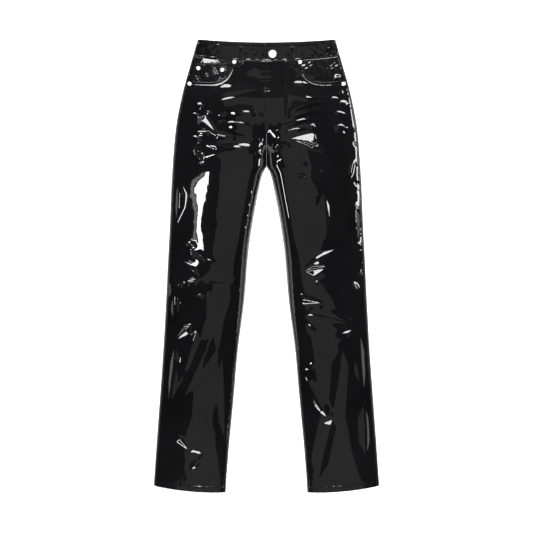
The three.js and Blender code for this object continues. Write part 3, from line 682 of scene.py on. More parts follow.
def shell(points, normals, lift, thick, edge):
    """A closed wall of cloth from a grid: the outside lies lift out along the normal and is
    rounded over edge at the borders, where it sinks by e - sqrt(e^2 - (e - d)^2). The inside
    lies one thickness in, smoothed so that it doesn't cross itself in a tight crease."""
    inward = np.clip(edge - from_borders(points), 0, edge)
    sink = edge - np.sqrt(edge**2 - inward**2)
    outer = points + normals * (lift - sink)[..., None]
    inner = points + normals * (lift - thick + INNER_SINK * sink)[..., None]
    for _ in range(EASE_ROUNDS):
        around = inner[:-2, 1:-1] + inner[2:, 1:-1] + inner[1:-1, :-2] + inner[1:-1, 2:]
        inner[1:-1, 1:-1] = lerp(inner[1:-1, 1:-1], around / 4, EASE_SHARE)
    depth = np.einsum("ijk,ijk->ij", outer - inner, normals)
    short = np.maximum(LEAST_WALL * thick - depth, 0.0)
    short[[0, -1]] = 0.0
    short[:, [0, -1]] = 0.0
    inner -= normals * short[..., None]
    columns, rows = points.shape[:2]
    count = columns * rows
    ring = border(columns, rows)
    following = np.roll(ring, -1)
    rim = np.stack([following, ring, ring + count, following + count], axis=-1)
    faces = np.concatenate([
        grid_faces(columns, rows),
        grid_faces(columns, rows, count, flip=True),
        rim,
    ])
    both = np.concatenate([outer.reshape(-1, 3), inner.reshape(-1, 3)])
    return both, outward(both, faces)


def surface_of_revolution(profile, sides):
    """A closed form from a profile of (radius, height) that starts and ends on the axis."""
    profile = np.array(profile, float)
    angle = np.linspace(0, 2 * math.pi, sides, endpoint=False)
    rings = profile[1:-1]
    ring = np.stack([
        rings[:, :1] * np.cos(angle),
        rings[:, :1] * np.sin(angle),
        np.broadcast_to(rings[:, 1:], (len(rings), sides)),
    ], axis=-1).reshape(-1, 3)
    points = np.concatenate([ring, [[0, 0, profile[0, 1]], [0, 0, profile[-1, 1]]]])
    at = np.arange(len(rings) * sides).reshape(len(rings), sides)
    after = np.roll(at, -1, axis=1)
    quads = np.stack([at[:-1], after[:-1], after[1:], at[1:]], axis=-1).reshape(-1, 4)
    low, high = len(ring), len(ring) + 1
    caps = np.concatenate([
        np.stack([after[0], at[0], np.full(sides, low)], axis=-1),
        np.stack([at[-1], after[-1], np.full(sides, high)], axis=-1),
    ])
    return points, quads, caps


# Stitches

# A stitch's rings, as shares of its length and its thickness
STITCH_PROFILE = ((-0.5, 0.35), (-0.36, 0.9), (0.36, 0.9), (0.5, 0.35))
STITCH_SIDES = 6
STITCH_PROUD = 0.1


def stitch_row(x, y, lift, on_top=True):
    """Points and normals along a path over the outside, lift out from it."""
    points, normals = outside(x, y, on_top)
    return points + normals * np.broadcast_to(lift, x.shape)[..., None], normals


def stitch_forms(rows, length, pitch, thread):
    """Short round-ended stitches along rows of points, as six-sided forms: a profile of
    rings carried along each stitch's way, nearly half sunk in the leather."""
    middles, ways, ups = [], [], []
    for points, normals in rows:
        steps = np.linalg.norm(np.diff(points, axis=0), axis=-1)
        way = np.concatenate([[0], np.cumsum(steps)])
        at = np.arange(pitch / 2, way[-1] - pitch / 4, pitch)
        ends = [np.stack([np.interp(at + s * length / 2, way, points[:, k]) for k in range(3)], -1)
                for s in (-1, 1)]
        up = np.stack([np.interp(at, way, normals[:, k]) for k in range(3)], -1)
        middles.append((ends[0] + ends[1]) / 2)
        ways.append(ends[1] - ends[0])
        ups.append(up)
    middle, way, up = (np.concatenate(part) for part in (middles, ways, ups))
    way /= np.linalg.norm(way, axis=-1, keepdims=True)
    up -= way * np.einsum("ij,ij->i", up, way)[:, None]
    up /= np.linalg.norm(up, axis=-1, keepdims=True)
    across = np.cross(up, way)
    profile, sides = np.array(STITCH_PROFILE), STITCH_SIDES
    angle = np.linspace(0, 2 * math.pi, sides, endpoint=False)
    along = np.repeat(profile[:, 0], sides) * length
    out = np.repeat(profile[:, 1], sides) * thread / 2
    turn = np.tile(angle, len(profile))
    points = (middle[:, None] + way[:, None] * along[:, None]
              + across[:, None] * (out * np.cos(turn))[:, None]
              + up[:, None] * (out * np.sin(turn) + STITCH_PROUD * thread)[:, None])
    at = np.arange(len(profile) * sides).reshape(len(profile), sides)
    after = np.roll(at, -1, axis=1)
    quads = np.stack([at[:-1], at[1:], after[1:], after[:-1]], axis=-1).reshape(-1, 4)
    ends = np.concatenate([
        at[0][[0, 1, 2, 3]][None], at[0][[0, 3, 4, 5]][None],
        at[-1][[3, 2, 1, 0]][None], at[-1][[5, 4, 3, 0]][None],
    ])
    one = np.concatenate([quads, ends])
    shift = np.arange(len(middle))[:, None, None] * points.shape[1]
    return points.reshape(-1, 3), (one[None] + shift).reshape(-1, 4)


# Materials

HANDLED_SIZE = 70.0
WAVE_SIZE = 14.0
GRAIN_SIZE = 1.1
TWIST_SIZE = 0.5
TWIST_DEPTH = 0.04
HAIRLINE_SIZE = 0.35
HAIRLINE_DEPTH = 0.004
# How much lighter or darker a finish gets where its noise is high or low, and its roughness
HANDLED_LIGHTER, TWIST_LIGHTER, HAIRLINE_DARKER = 1.7, 1.8, 0.9
HANDLED_ROUGHNESS = (-0.06, 0.08)
THREAD_ROUGHNESS = (0.65, 0.85)
METAL_ROUGHNESS = (0.4, 0.5)
NOISE_MIDDLE = (0.35, 0.65)
NOISE_REACH = (0.3, 0.7)


def linear(colour):
    """An sRGB hex value as linear RGB: the upper branch is ((c + 0.055) / 1.055)^2.4."""
    parts = [((colour >> shift) & 255) / 255 for shift in (16, 8, 0)]
    return tuple(c / 12.92 if c <= 0.04045 else ((c + 0.055) / 1.055) ** 2.4 for c in parts)


def add_node(tree, kind, settings=(), values=(), links=()):
    """One node with its settings, the values of its sockets and the links into them."""
    made = tree.nodes.new(kind)
    for name, value in dict(settings).items():
        setattr(made, name, value)
    for name, value in dict(values).items():
        made.inputs[name].default_value = value
    for name, source in dict(links).items():
        tree.links.new(source, made.inputs[name])
    return made


def new_material(name):
    material = bpy.data.materials.new(name)
    material.use_nodes = True
    material.node_tree.nodes.clear()
    return material, material.node_tree


def finish_material(tree, shader):
    add_node(tree, "ShaderNodeOutputMaterial", links={"Surface": shader.outputs[0]})


def per_metre(size):
    """Scale of a noise whose features are about this size in millimetres."""
    return 1 / (size * MM)


def noise(tree, place, size, detail=2.0):
    return add_node(tree, "ShaderNodeTexNoise", values={"Scale": per_metre(size), "Detail": detail},
                    links={"Vector": place.outputs["Object"]}).outputs[0]


def ramp(tree, source, colour, start=1.0, end=1.0):
    """A colour ramp from start times a linear colour to end times that colour."""
    made = add_node(tree, "ShaderNodeValToRGB", links={"Fac": source})
    shades = [tuple(share * c for c in colour) for share in (start, end)]
    for element, position, shade in zip(made.color_ramp.elements, NOISE_MIDDLE, shades):
        element.position = position
        element.color = (*shade, 1)
    return made.outputs[0]


def spread(tree, source, low, high):
    """A noise stretched to run from low to high."""
    made = add_node(tree, "ShaderNodeMapRange", links={"Value": source}, values={
        "From Min": NOISE_REACH[0], "From Max": NOISE_REACH[1], "To Min": low, "To Max": high})
    return made.outputs[0]


def bump(tree, height, distance, below=None):
    links = {"Height": height}
    if below is not None:
        links["Normal"] = below.outputs[0]
    return add_node(tree, "ShaderNodeBump", values={"Strength": 1.0, "Distance": distance * MM},
                    links=links)


def patent_leather(name, colour, looks):
    """Patent leather: split leather under a cast, plasticised lacquer film. The film gives
    mirror-sharp highlights over a deep black, slightly waved by the hide under it, and dulls
    a little where it has been handled."""
    material, tree = new_material(name)
    place = add_node(tree, "ShaderNodeTexCoord")
    handled = noise(tree, place, HANDLED_SIZE, 4)
    hide = bump(tree, noise(tree, place, WAVE_SIZE, 1), looks.wave_height)
    grain = bump(tree, noise(tree, place, GRAIN_SIZE, 2), looks.grain_height, hide)
    shader = add_node(tree, "ShaderNodeBsdfPrincipled", values={
        "Specular IOR Level": 0.02,
        "Coat Weight": 1.0,
        "Coat Roughness": looks.gloss_roughness,
        "Coat IOR": 1.5,
    }, links={
        "Base Color": ramp(tree, handled, colour, end=HANDLED_LIGHTER),
        "Roughness": spread(tree, handled, *[looks.leather_roughness + step
                                             for step in HANDLED_ROUGHNESS]),
        "Normal": grain.outputs[0],
        "Coat Normal": hide.outputs[0],
    })
    finish_material(tree, shader)
    return material


def thread_material(looks):
    """Bonded polyester thread: smooth, twisted and dyed to match, with a dull sheen."""
    material, tree = new_material("bonded polyester thread")
    place = add_node(tree, "ShaderNodeTexCoord")
    twist = noise(tree, place, TWIST_SIZE, 1)
    shader = add_node(tree, "ShaderNodeBsdfPrincipled", values={
        "Specular IOR Level": 0.1,
        "Sheen Weight": 0.05,
        "Sheen Roughness": 0.4,
    }, links={
        "Base Color": ramp(tree, twist, looks.thread_colour, end=TWIST_LIGHTER),
        "Roughness": spread(tree, twist, *THREAD_ROUGHNESS),
        "Normal": bump(tree, twist, TWIST_DEPTH).outputs[0],
    })
    finish_material(tree, shader)
    return material


def metal_material(looks):
    """Nickel-plated brass, stamped and polished: bright and neutral, with faint hairlines
    from the polishing wheel."""
    material, tree = new_material("polished nickel plate")
    place = add_node(tree, "ShaderNodeTexCoord")
    hairlines = noise(tree, place, HAIRLINE_SIZE, 2)
    shader = add_node(tree, "ShaderNodeBsdfPrincipled", values={"Metallic": 1.0}, links={
        "Base Color": ramp(tree, hairlines, looks.metal_colour, start=HAIRLINE_DARKER),
        "Roughness": spread(tree, hairlines, *METAL_ROUGHNESS),
        "Normal": bump(tree, hairlines, HAIRLINE_DEPTH).outputs[0],
    })
    finish_material(tree, shader)
    return material


def material_of(kind):
    """One of the garment's materials, made when it is first asked for."""
    looks = bpy.context.scene.trousers_finish
    makers = {
        "black patent leather": lambda: patent_leather(kind, looks.leather_colour, looks),
        "patent pocket facing": lambda: patent_leather(kind, looks.facing_colour, looks),
        "bonded polyester thread": lambda: thread_material(looks),
        "polished nickel plate": lambda: metal_material(looks),
    }
    return bpy.data.materials.get(kind) or makers[kind]()


# Cloth pieces

# What each piece is cut to, flat, in metres: width, length and area with its seam
# allowances turned in
CUTS = (
    ("front", 0.212, 1.02, 0.173),
    ("back", 0.245, 0.96, 0.194),
    ("yoke", 0.20, 0.07, 0.0098),
    ("waistband", 0.70, 0.044, 0.0285),
    ("facing", 0.12, 0.06, 0.006),
    ("coin pocket", 0.078, 0.058, 0.0044),
    ("back pocket", 0.114, 0.144, 0.0143),
    ("right front loop", 0.0115, 0.0425, None),
    ("left front loop", 0.0115, 0.05, None),
    ("back belt loop", 0.0115, 0.0496, None),
)


def cloth(name, nodes, points, faces, cut, material="black patent leather"):
    piece = make_piece(name, points, faces.tolist(), material_of(material))
    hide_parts(*nodes)
    _, width, length, area = next(row for row in CUTS if row[0] == cut)
    if area is None:
        area = width * length
    return piece


SIDES = (("right", -1), ("left", 1))
EDGE_ROUND = 0.65

# Columns of a front panel stand close at its edges, INNER_WAY and OUTER_WAY long, and even
# between. Its rows run level up to LEVEL_ROW, at LEVEL_SHARE of its length.
PANEL_COLUMNS = (34, 16, 50)
PANEL_SHARES = (0.36, 0.5)
INNER_WAY, OUTER_WAY = 74.0, 100.0
PANEL_ROWS, PANEL_WAY = 480, 1000.0
PANEL_TOP = 460.0
LEVEL_ROW = 395.0
LEVEL_SHARE = 0.92


def front_panel(hand, side):
    """Front panel: x and y over shares u of its width and v of its length, laid over the
    garment's outside, with the fly's doubled leather and the relief of its seams."""
    first, last = PANEL_SHARES
    u = np.concatenate([
        stations(PANEL_COLUMNS[0], INNER_WAY)[:-len(CLOTH_EDGE)] * first,
        np.linspace(first, last, PANEL_COLUMNS[1]),
        last + (1 - last) * stations(PANEL_COLUMNS[2], OUTER_WAY)[len(CLOTH_EDGE) + 1:],
    ])
    v = stations(PANEL_ROWS, PANEL_WAY)
    bottom = settle(lambda y: front_x(side, u, y), hem_line, np.full_like(u, HEM_SIDE[1]))
    top = settle(lambda y: front_x(side, u, y), front_top, np.full_like(u, PANEL_TOP))
    below = lerp(bottom[:, None], LEVEL_ROW, v / LEVEL_SHARE)
    above = lerp(LEVEL_ROW, top[:, None], (v - LEVEL_SHARE) / (1 - LEVEL_SHARE))
    y = np.where(v < LEVEL_SHARE, below, above)
    x = front_x(side, u[:, None], y)
    points, normals = outside(x, y)
    shield = fly_shield(side, x, y)
    points, faces = shell(points, normals, shield + front_relief(side, x, y),
                          LEATHER + shield, EDGE_ROUND)
    return cloth(f"leather_front_{hand}", [f"front_{hand}"], points, faces, "front")


def polygon_distance(x, y, corners):
    """Distance out of a convex outline whose corners run anticlockwise, less than 0 inside."""
    corners = np.array(corners, float)
    after = np.roll(corners, -1, axis=0)
    way = (after - corners) / np.linalg.norm(after - corners, axis=1, keepdims=True)
    sides = [(x - c[0]) * w[1] - (y - c[1]) * w[0] for c, w in zip(corners, way)]
    return np.maximum.reduce(sides)


POCKET_INNER, POCKET_OUTER, POCKET_TAPER = 33.0, 147.0, 6.0
POCKET_TOP, POCKET_SHOULDER, POCKET_POINT = 383.0, 266.0, 240.0
POCKET_CORNERS = (
    (POCKET_INNER + POCKET_TAPER, POCKET_SHOULDER),
    ((POCKET_INNER + POCKET_OUTER) / 2, POCKET_POINT),
    (POCKET_OUTER - POCKET_TAPER, POCKET_SHOULDER),
    (POCKET_OUTER, POCKET_TOP),
    (POCKET_INNER, POCKET_TOP),
)
BACK_LOOPS = (-105.0, 0.0, 105.0)
LOOP_WIDTH = 11.5
BACK_LOOP_BOTTOM = 452.0
LOOP_TOP = 501.6
POCKET_ROOM = (1.0, 6.0)
LOOP_ROOM_BESIDE = (8.0, 32.0)
LOOP_ROOM_UP = (428.0, 450.0)


def pocket_room(x, y):
    """The back lies over its pocket, one layer higher."""
    away = polygon_distance(np.abs(x), y, POCKET_CORNERS)
    return LAYER * (1 - smoothstep(away, *POCKET_ROOM))


def loop_room(x, y):
    """The band and yoke lie over the belt loops at the back."""
    nearest = np.min([np.abs(x - loop) for loop in BACK_LOOPS], axis=0)
    beside = 1 - smoothstep(nearest, *LOOP_ROOM_BESIDE)
    return LOOP_LAYER * beside * smoothstep(y, *LOOP_ROOM_UP)


# Creases of the back, which rises off the surface there: x0, y0, x1, y1, bow, height and
# width, for the left leg, and mirrored and moved by BACK_SHIFT for the right one.
BACK_FOLDS = (
    (40, 226, 160, 205, 6, 2.6, 9),
    (60, 205, 190, 222, -6, 1.8, 8),
    (70, 190, 150, 168, 4, 1.6, 8),
    (62, 20, 190, 6, 8, 2.4, 10),
    (72, -14, 205, -22, -6, 3.0, 9),
    (76, -40, 180, -62, 5, 2.0, 9),
    (95, -70, 200, -84, -5, 1.5, 8),
    (110, -180, 150, -300, 6, 1.8, 12),
    (190, -330, 160, -450, -6, 1.6, 12),
)
BACK_SHIFT = 11.0
BACK_FOLD_SOFT = 1.5
BACK_FOLD_FADE = 0.35
BACK_FOLD_EDGE = (4.0, 20.0)

BACK_COLUMNS, BACK_ROWS, YOKE_ROWS = 84, 300, 34
BACK_WAY = (260.0, 930.0)
YOKE_WAY = (210.0, 50.0)


def back_creases(side, x, y):
    total = np.zeros(np.shape(x))
    down = BACK_SHIFT * (side < 0)
    for x0, y0, x1, y1, bow, height, width in BACK_FOLDS:
        fold = (x0, y0 - down, x1, y1 - down, bow, height, width, width,
                BACK_FOLD_SOFT, BACK_FOLD_FADE, BACK_FOLD_FADE)
        total += fold_height(fold, np.abs(x), y)
    return total * smoothstep(edge_distance(x, y), *BACK_FOLD_EDGE)


def back_panel(hand, side):
    """Back panel: shares u round the section of the leg, from the inseam under it to the
    side seam, and v along its length, raised over the pocket and at its creases."""
    u, v = stations(BACK_COLUMNS, BACK_WAY[0]), stations(BACK_ROWS, BACK_WAY[1])
    bottom = settle(lambda y: back_place(side, u, y)[0], hem_line, np.full_like(u, HEM_SIDE[1]))
    top = yoke_seam(side, u) - SEAM_GAP / 2
    y = lerp(bottom[:, None], top[:, None], v)
    x, on_top = back_place(side, u[:, None], y)
    raised = np.where(on_top, 0, pocket_room(x, y) + back_creases(side, x, y))
    points, normals = outside(x, y, on_top, raised)
    relief = puckers("back hem", y - hem_line(x) - HEM_STITCH, np.abs(x))
    seams = puckers("back seams", from_borders(points), y + np.abs(x), side)
    points, faces = shell(points, normals, np.where(on_top, relief + seams, 0.0), LEATHER,
                          EDGE_ROUND)
    return cloth(f"leather_back_{hand}", [f"back_{hand}_upper", f"back_{hand}_lower"],
                 points, faces, "back")


def yoke(hand, side):
    """Back yoke: the same section between the yoke seam and the waist seam."""
    u, v = stations(BACK_COLUMNS, YOKE_WAY[0]), stations(YOKE_ROWS, YOKE_WAY[1])
    bottom = yoke_seam(side, u) + SEAM_GAP / 2
    top = settle(lambda y: back_place(side, u, y)[0], waist_seam, bottom) - SEAM_GAP / 2
    y = lerp(bottom[:, None], top[:, None], v)
    x, on_top = back_place(side, u[:, None], y)
    points, normals = outside(x, y, on_top, np.where(on_top, 0, loop_room(x, y)))
    points, faces = shell(points, normals, np.zeros(x.shape), LEATHER, EDGE_ROUND)
    return cloth(f"leather_yoke_{hand}", [f"yoke_{hand}"], points, faces, "yoke")


BAND_COLUMNS, BAND_ROWS = 180, 30
BAND_WAY = 42.0
BAND_EDGE = (0.3, 0.7, 1.2, 1.9)
BAND_ROUND = 1.1
BAND_LIFT = 1.6
BAND_STITCH = 6.5
BAND_CRINKLE = 0.35


def band_place(side, share, y):
    """Half of the waistband's section, from the fly over the side edge to the centre back."""
    roll = roll_radius(y)
    top = arc_of(side_edge(y) - side * fly_edge(y) - SEAM_GAP / 2, roll)
    below = arc_of(side_edge(y), roll)
    arc = lerp(-top, below, share)
    x = side * (side_edge(y) - plan_of(np.abs(arc), roll))
    return x, arc < 0


def waistband():
    """Waistband: one strip round the waist, from the fly over the left side, under the back
    and over the right side to the fly. It stands BAND_LIFT proud on the front."""
    share = np.linspace(0, 1, BAND_COLUMNS)
    side = np.concatenate([np.full(BAND_COLUMNS, 1), np.full(BAND_COLUMNS - 1, -1)])
    share = np.concatenate([share, share[-2::-1]])
    v = stations(BAND_ROWS, BAND_WAY, BAND_EDGE)

    def x_at(y):
        return band_place(side, share, y)[0]

    bottom = settle(x_at, waist_seam, np.full(len(share), WAIST_SEAM[0])) + SEAM_GAP / 2
    top = settle(x_at, waist_edge, np.full(len(share), WAIST_EDGE[0]))
    y = lerp(bottom[:, None], top[:, None], v)
    x, on_top = band_place(side[:, None], share[:, None], y)
    points, normals = outside(x, y, on_top, np.where(on_top, 0, loop_room(x, y)))
    lift = BAND_LIFT * smoothstep(edge_distance(x, y), 0, roll_radius(y)) * on_top
    upper = puckers("waistband top", waist_edge(x) - y - BAND_STITCH, x)
    lower = puckers("waistband bottom", y - waist_seam(x) - BAND_STITCH / 2, x)
    ripples = BAND_CRINKLE * crinkle("waistband", np.abs(x), y)
    lift = lift + on_top * (upper + lower + ripples)
    points, faces = shell(points, normals, lift, BAND_LEATHER, BAND_ROUND)
    return cloth("leather_waistband", ["waistband"], points, faces, "waistband")


FACING_FROM = 67.0
FACING_INSET = 4.0
FACING_LAP = 8.0
FACING_COLUMNS, FACING_ROWS = 64, 44
FACING_CRINKLE = {"right": 0.2, "left": 0.5}


def facing(hand, side, depth):
    """Pocket facing: the leather seen through the pocket mouth, depth under the front."""
    u = np.linspace(0, 1, FACING_COLUMNS)

    def x_at(y, share=u):
        return side * lerp(FACING_FROM, side_edge(y) - FACING_INSET, share)

    def bottom_line(x):
        return np.minimum(pocket_mouth(x), waist_seam(x)) - FACING_LAP

    bottom = settle(x_at, bottom_line, np.full_like(u, YOKE_SIDE))
    top = settle(x_at, waist_seam, np.full_like(u, YOKE_SIDE)) - SEAM_GAP / 2
    y = lerp(bottom[:, None], top[:, None], np.linspace(0, 1, FACING_ROWS))
    x = x_at(y, u[:, None])
    points, normals = outside(x, y)
    lift = FACING_CRINKLE[hand] * crinkle("facing", np.abs(x), y) - depth
    points, faces = shell(points, normals, lift, LEATHER, EDGE_ROUND)
    return cloth(f"leather_facing_{hand}", [f"pocket_facing_{hand}"], points, faces, "facing",
                 "patent pocket facing")


COIN_TOP, COIN_BOTTOM = 463.5, 406.0
COIN_INNER, COIN_TAPER = 91.0, 5.0
COIN_OUTER_TOP, COIN_OUTER_BOTTOM = 165.0, 168.0
COIN_COLUMNS, COIN_ROWS = 60, 46
COIN_WAY = (74.0, 57.0)
COIN_CRINKLE, COIN_CREST = 1.5, 0.25
COIN_EVEN_TOP = (0.04, 0.25)
COIN_EVEN_SIDE = (0.3, 0.7)
COIN_CALM = 0.35


def coin_place(across, down):
    outer = lerp(COIN_OUTER_TOP, COIN_OUTER_BOTTOM, down)
    return -lerp(COIN_INNER + COIN_TAPER * down, outer, across), lerp(COIN_TOP, COIN_BOTTOM, down)


def coin_pocket():
    """Coin pocket: a patch on the right facing, crinkled between its two rivets."""
    across, down = stations(COIN_COLUMNS, COIN_WAY[0]), stations(COIN_ROWS, COIN_WAY[1])
    x, y = coin_place(across[:, None], np.broadcast_to(down, (COIN_COLUMNS, COIN_ROWS)))
    points, normals = outside(x, y)
    crossing = lerp(COIN_CALM, 1, smoothstep(1 - across, *COIN_EVEN_SIDE))[:, None]
    zone = smoothstep(down, *COIN_EVEN_TOP) * crossing
    squiggles = np.minimum(COIN_CRINKLE * zone * crinkle("coin pocket", x, y), COIN_CREST)
    stitched = puckers("coin pocket top", COIN_TOP - y - ROW_MIDDLE, x)
    points, faces = shell(points, normals, squiggles + stitched - LAYER, LEATHER, EDGE_ROUND)
    return cloth("leather_coin_pocket", ["coin_pocket"], points, faces, "coin pocket")


POCKET_COLUMNS, POCKET_ROWS = 56, 60
POCKET_WAY = (114.0, 130.0)


def flat_cloth(name, node, x, y, thick, edge, cut):
    """A piece that lies flat on the surface with its outside down."""
    points = np.stack([x, y, np.zeros(x.shape)], axis=-1)
    normals = np.broadcast_to(np.array([0.0, 0.0, -1.0]), points.shape)
    points, faces = shell(points, normals, np.zeros(x.shape), thick, edge)
    return cloth(name, [node], points, faces, cut)


def back_pocket(hand, side):
    """Back pocket: a patch whose point is below. Rows run from the outline's lower edge up
    to the top edge, and it is as thick as the leather everywhere."""
    u, v = stations(POCKET_COLUMNS, POCKET_WAY[0]), stations(POCKET_ROWS, POCKET_WAY[1])
    middle = (POCKET_INNER + POCKET_OUTER) / 2
    x0 = lerp(POCKET_INNER, POCKET_OUTER, u)[:, None]
    low = lerp(POCKET_SHOULDER, POCKET_POINT, 1 - np.abs(2 * u - 1))[:, None]
    y = lerp(low, POCKET_TOP, v)
    narrow = POCKET_TAPER * np.clip((POCKET_TOP - y) / (POCKET_TOP - POCKET_SHOULDER), 0, 1)
    x = side * (middle + (x0 - middle) * (1 - narrow / (middle - POCKET_INNER)))
    return flat_cloth(f"leather_back_pocket_{hand}", f"back_pocket_{hand}", x, y, LEATHER,
                      EDGE_ROUND, "back pocket")


FRONT_LOOPS = (("right", -58.0, 459.5), ("left", 58.0, 452.0))
LOOP_BOW = 0.8
LOOP_STEP = (9.0, 1.0)
LOOP_COLUMNS, LOOP_ROWS = 20, 44
LOOP_ROUND = 0.75
RAIL_INSET, RAIL_REACH, RAIL_DEPTH = 2.2, 0.8, 0.25


def loop_lift(x, y):
    """How far a front loop lies over the front: on the panel below the waist seam, then up
    over the waistband's edge and bowed clear of it up to its top tack."""
    seam = waist_seam(x)
    clear = BAND_LIFT + SEAM_GAP + LOOP_LEATHER
    step = smoothstep(y, seam - LOOP_STEP[0], seam - LOOP_STEP[1])
    on_band = np.clip((y - seam) / (LOOP_TOP - seam), 0, 1)
    bow = LOOP_BOW * np.sin(math.pi * on_band) ** 2
    return lerp(LOOP_LAYER + SEAM_GAP, clear + SEAM_GAP * (1 - on_band), step) + bow


def loop_plan(x0, bottom):
    """Plan of a belt loop: a strip about x0 that runs straight up from its bottom."""
    across = stations(LOOP_COLUMNS, LOOP_WIDTH)[:, None]
    up = stations(LOOP_ROWS, LOOP_TOP - bottom)
    return np.broadcast_arrays(x0 + (across - 0.5) * LOOP_WIDTH, lerp(bottom, LOOP_TOP, up))


def front_loop(hand, x0, bottom):
    """Belt loop on the front: a strip that follows loop_lift up the garment, with a groove
    along each edge where it is sewn."""
    x, y = loop_plan(x0, bottom)
    points, normals = outside(x, y)
    off_rail = np.abs(x - x0) - LOOP_WIDTH / 2 + RAIL_INSET
    rails = RAIL_DEPTH * np.exp(-((off_rail / RAIL_REACH) ** 2))
    points, faces = shell(points, normals, loop_lift(x, y) - rails, LOOP_LEATHER, LOOP_ROUND)
    return cloth(f"leather_loop_front_{hand}", [f"belt_loop_front_{hand}"], points, faces,
                 f"{hand} front loop")


def back_loop(place, x0):
    """Belt loop at the back: a flat strip between the waistband and what it lies on."""
    x, y = loop_plan(x0, BACK_LOOP_BOTTOM)
    return flat_cloth(f"leather_loop_back_{place}", f"belt_loop_back_{place}", x, y,
                      LOOP_LEATHER, LOOP_ROUND, "back belt loop")


# Metal

METAL_SIDES = 64
BUTTON_PROFILE = (
    (0, 0), (8.6, 0), (9.0, 0.35), (9.0, 1.7), (8.8, 2.2), (8.35, 2.55), (7.8, 2.6),
    (7.4, 2.4), (7.1, 2.05), (6.6, 1.95), (4.0, 2.2), (2.0, 2.32), (0, 2.35),
)
RIVET_PROFILE = (
    (0, 0), (4.45, 0), (4.6, 0.2), (4.5, 0.6), (4.1, 0.95), (3.4, 1.2), (2.6, 1.3),
    (2.1, 1.35), (1.85, 1.6), (1.6, 2.0), (1.2, 2.18), (0.6, 2.2), (0, 2.2),
)
RIVET_NODES = (
    "rivet_pocket_right_waist",
    "rivet_pocket_right_side",
    "rivet_coin_outer",
    "rivet_coin_inner",
    "rivet_pocket_left_waist",
    "rivet_pocket_left_side",
)


def metal_piece(name, node, profile):
    """A stamped round piece: its profile turned about the middle of its CAD node."""
    low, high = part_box(node)
    points, quads, caps = surface_of_revolution(profile, METAL_SIDES)
    middle = np.array([(low[0] + high[0]) / 2, (low[1] + high[1]) / 2, low[2]])
    piece = make_piece(name, points + middle / MM, quads.tolist() + caps.tolist(),
                       material_of("polished nickel plate"), METAL_SHARP)
    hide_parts(node)
    return piece


# Stitching

# Points along a row
BAND_POINTS, LONG_POINTS, ROW_POINTS, SHORT_POINTS = 300, 160, 120, 60
STEEP_POINTS, COIN_POINTS, TACK_POINTS = 40, 50, 12
MOUTH_ROW = (86.0, 175.0)
MOUTH_ROW_TOP = 466.0
MOUTH_STEEP = np.array(POCKET_MOUTH[-4:])
HEM_ROW_INSETS = (4.0, 6.0)
FLY_ROW = (312.0, J_TOP)
J_INSETS = (0.0, 6.0)
RISE_ROW = (236.0, 298.0)


def front_row(side, x, y, doubled=False):
    """A row of stitches on a front panel, sunk in its seams, over the fly's doubled leather
    where there is any."""
    return stitch_row(x, y, front_relief(side, x, y) + doubled * fly_shield(side, x, y))


def front_rows():
    """Rows of stitches on the front panels."""
    rows = []
    for side in (-1, 1):
        x = side * np.linspace(*MOUTH_ROW, ROW_POINTS)
        for below in ROW_INSETS:
            rows.append(front_row(side, x, pocket_mouth(x) - below))
        start = mouth_height(MOUTH_ROW[0]) - ROW_INSETS[0]
        y = np.linspace(start, MOUTH_ROW_TOP, STEEP_POINTS)
        for beside in ROW_INSETS:
            x = side * (np.interp(y, MOUTH_STEEP[:, 1], MOUTH_STEEP[:, 0]) - beside)
            rows.append(front_row(side, x, y))
        reach = HEM_INNER[0] + HEM_ROW_INSETS[0], HEM_SIDE[0] - HEM_ROW_INSETS[1]
        x = side * np.linspace(*reach, LONG_POINTS)
        rows.append(front_row(side, x, hem_line(x) + HEM_STITCH))
    y = np.linspace(*FLY_ROW, ROW_POINTS)
    rows.append(front_row(1, np.zeros(ROW_POINTS), y, doubled=True))
    for inset in J_INSETS:
        rows.append(front_row(1, *j_line(inset), doubled=True))
    y = np.linspace(*RISE_ROW, SHORT_POINTS)
    rows.append(front_row(1, np.full(SHORT_POINTS, RISE_BESIDE), y))
    return rows


BAND_ROW_REACH = 168.0
BAND_ROW_EDGE = 2.0
SUNK = 0.2


def band_rows():
    """Two rows along the waistband, on the front."""
    x = np.linspace(-BAND_ROW_REACH, BAND_ROW_REACH, BAND_POINTS)
    upper, lower = waist_edge(x) - BAND_STITCH, waist_seam(x) + BAND_STITCH / 2
    rows = []
    for y in (upper, lower):
        inside = np.abs(x) < side_edge(y) - BAND_ROW_EDGE
        rows.append(stitch_row(x[inside], y[inside], BAND_LIFT - SUNK))
    return rows


COIN_ROW, COIN_SIDE_ROW = (0.02, 0.98), (0.02, 0.9)
COIN_SIDES = (0.03, 0.97)


def coin_rows():
    """Rows round the coin pocket's open sides."""
    rows = []
    across = np.linspace(*COIN_ROW, SHORT_POINTS)
    down = np.linspace(*COIN_SIDE_ROW, COIN_POINTS)
    for inset in ROW_INSETS:
        share = inset / (COIN_TOP - COIN_BOTTOM)
        x, y = coin_place(across, np.full(SHORT_POINTS, share))
        rows.append(stitch_row(x, y, -LAYER))
    for edge in COIN_SIDES:
        x, y = coin_place(np.full(COIN_POINTS, edge), down)
        rows.append(stitch_row(x, y, -LAYER))
    return rows


LOOP_ROW_INSET = 1.5
TACK_INSET, TACK_REACH = 2.5, 4.6
TACK_STEPS = np.arange(-1.2, 1.3, 0.6)


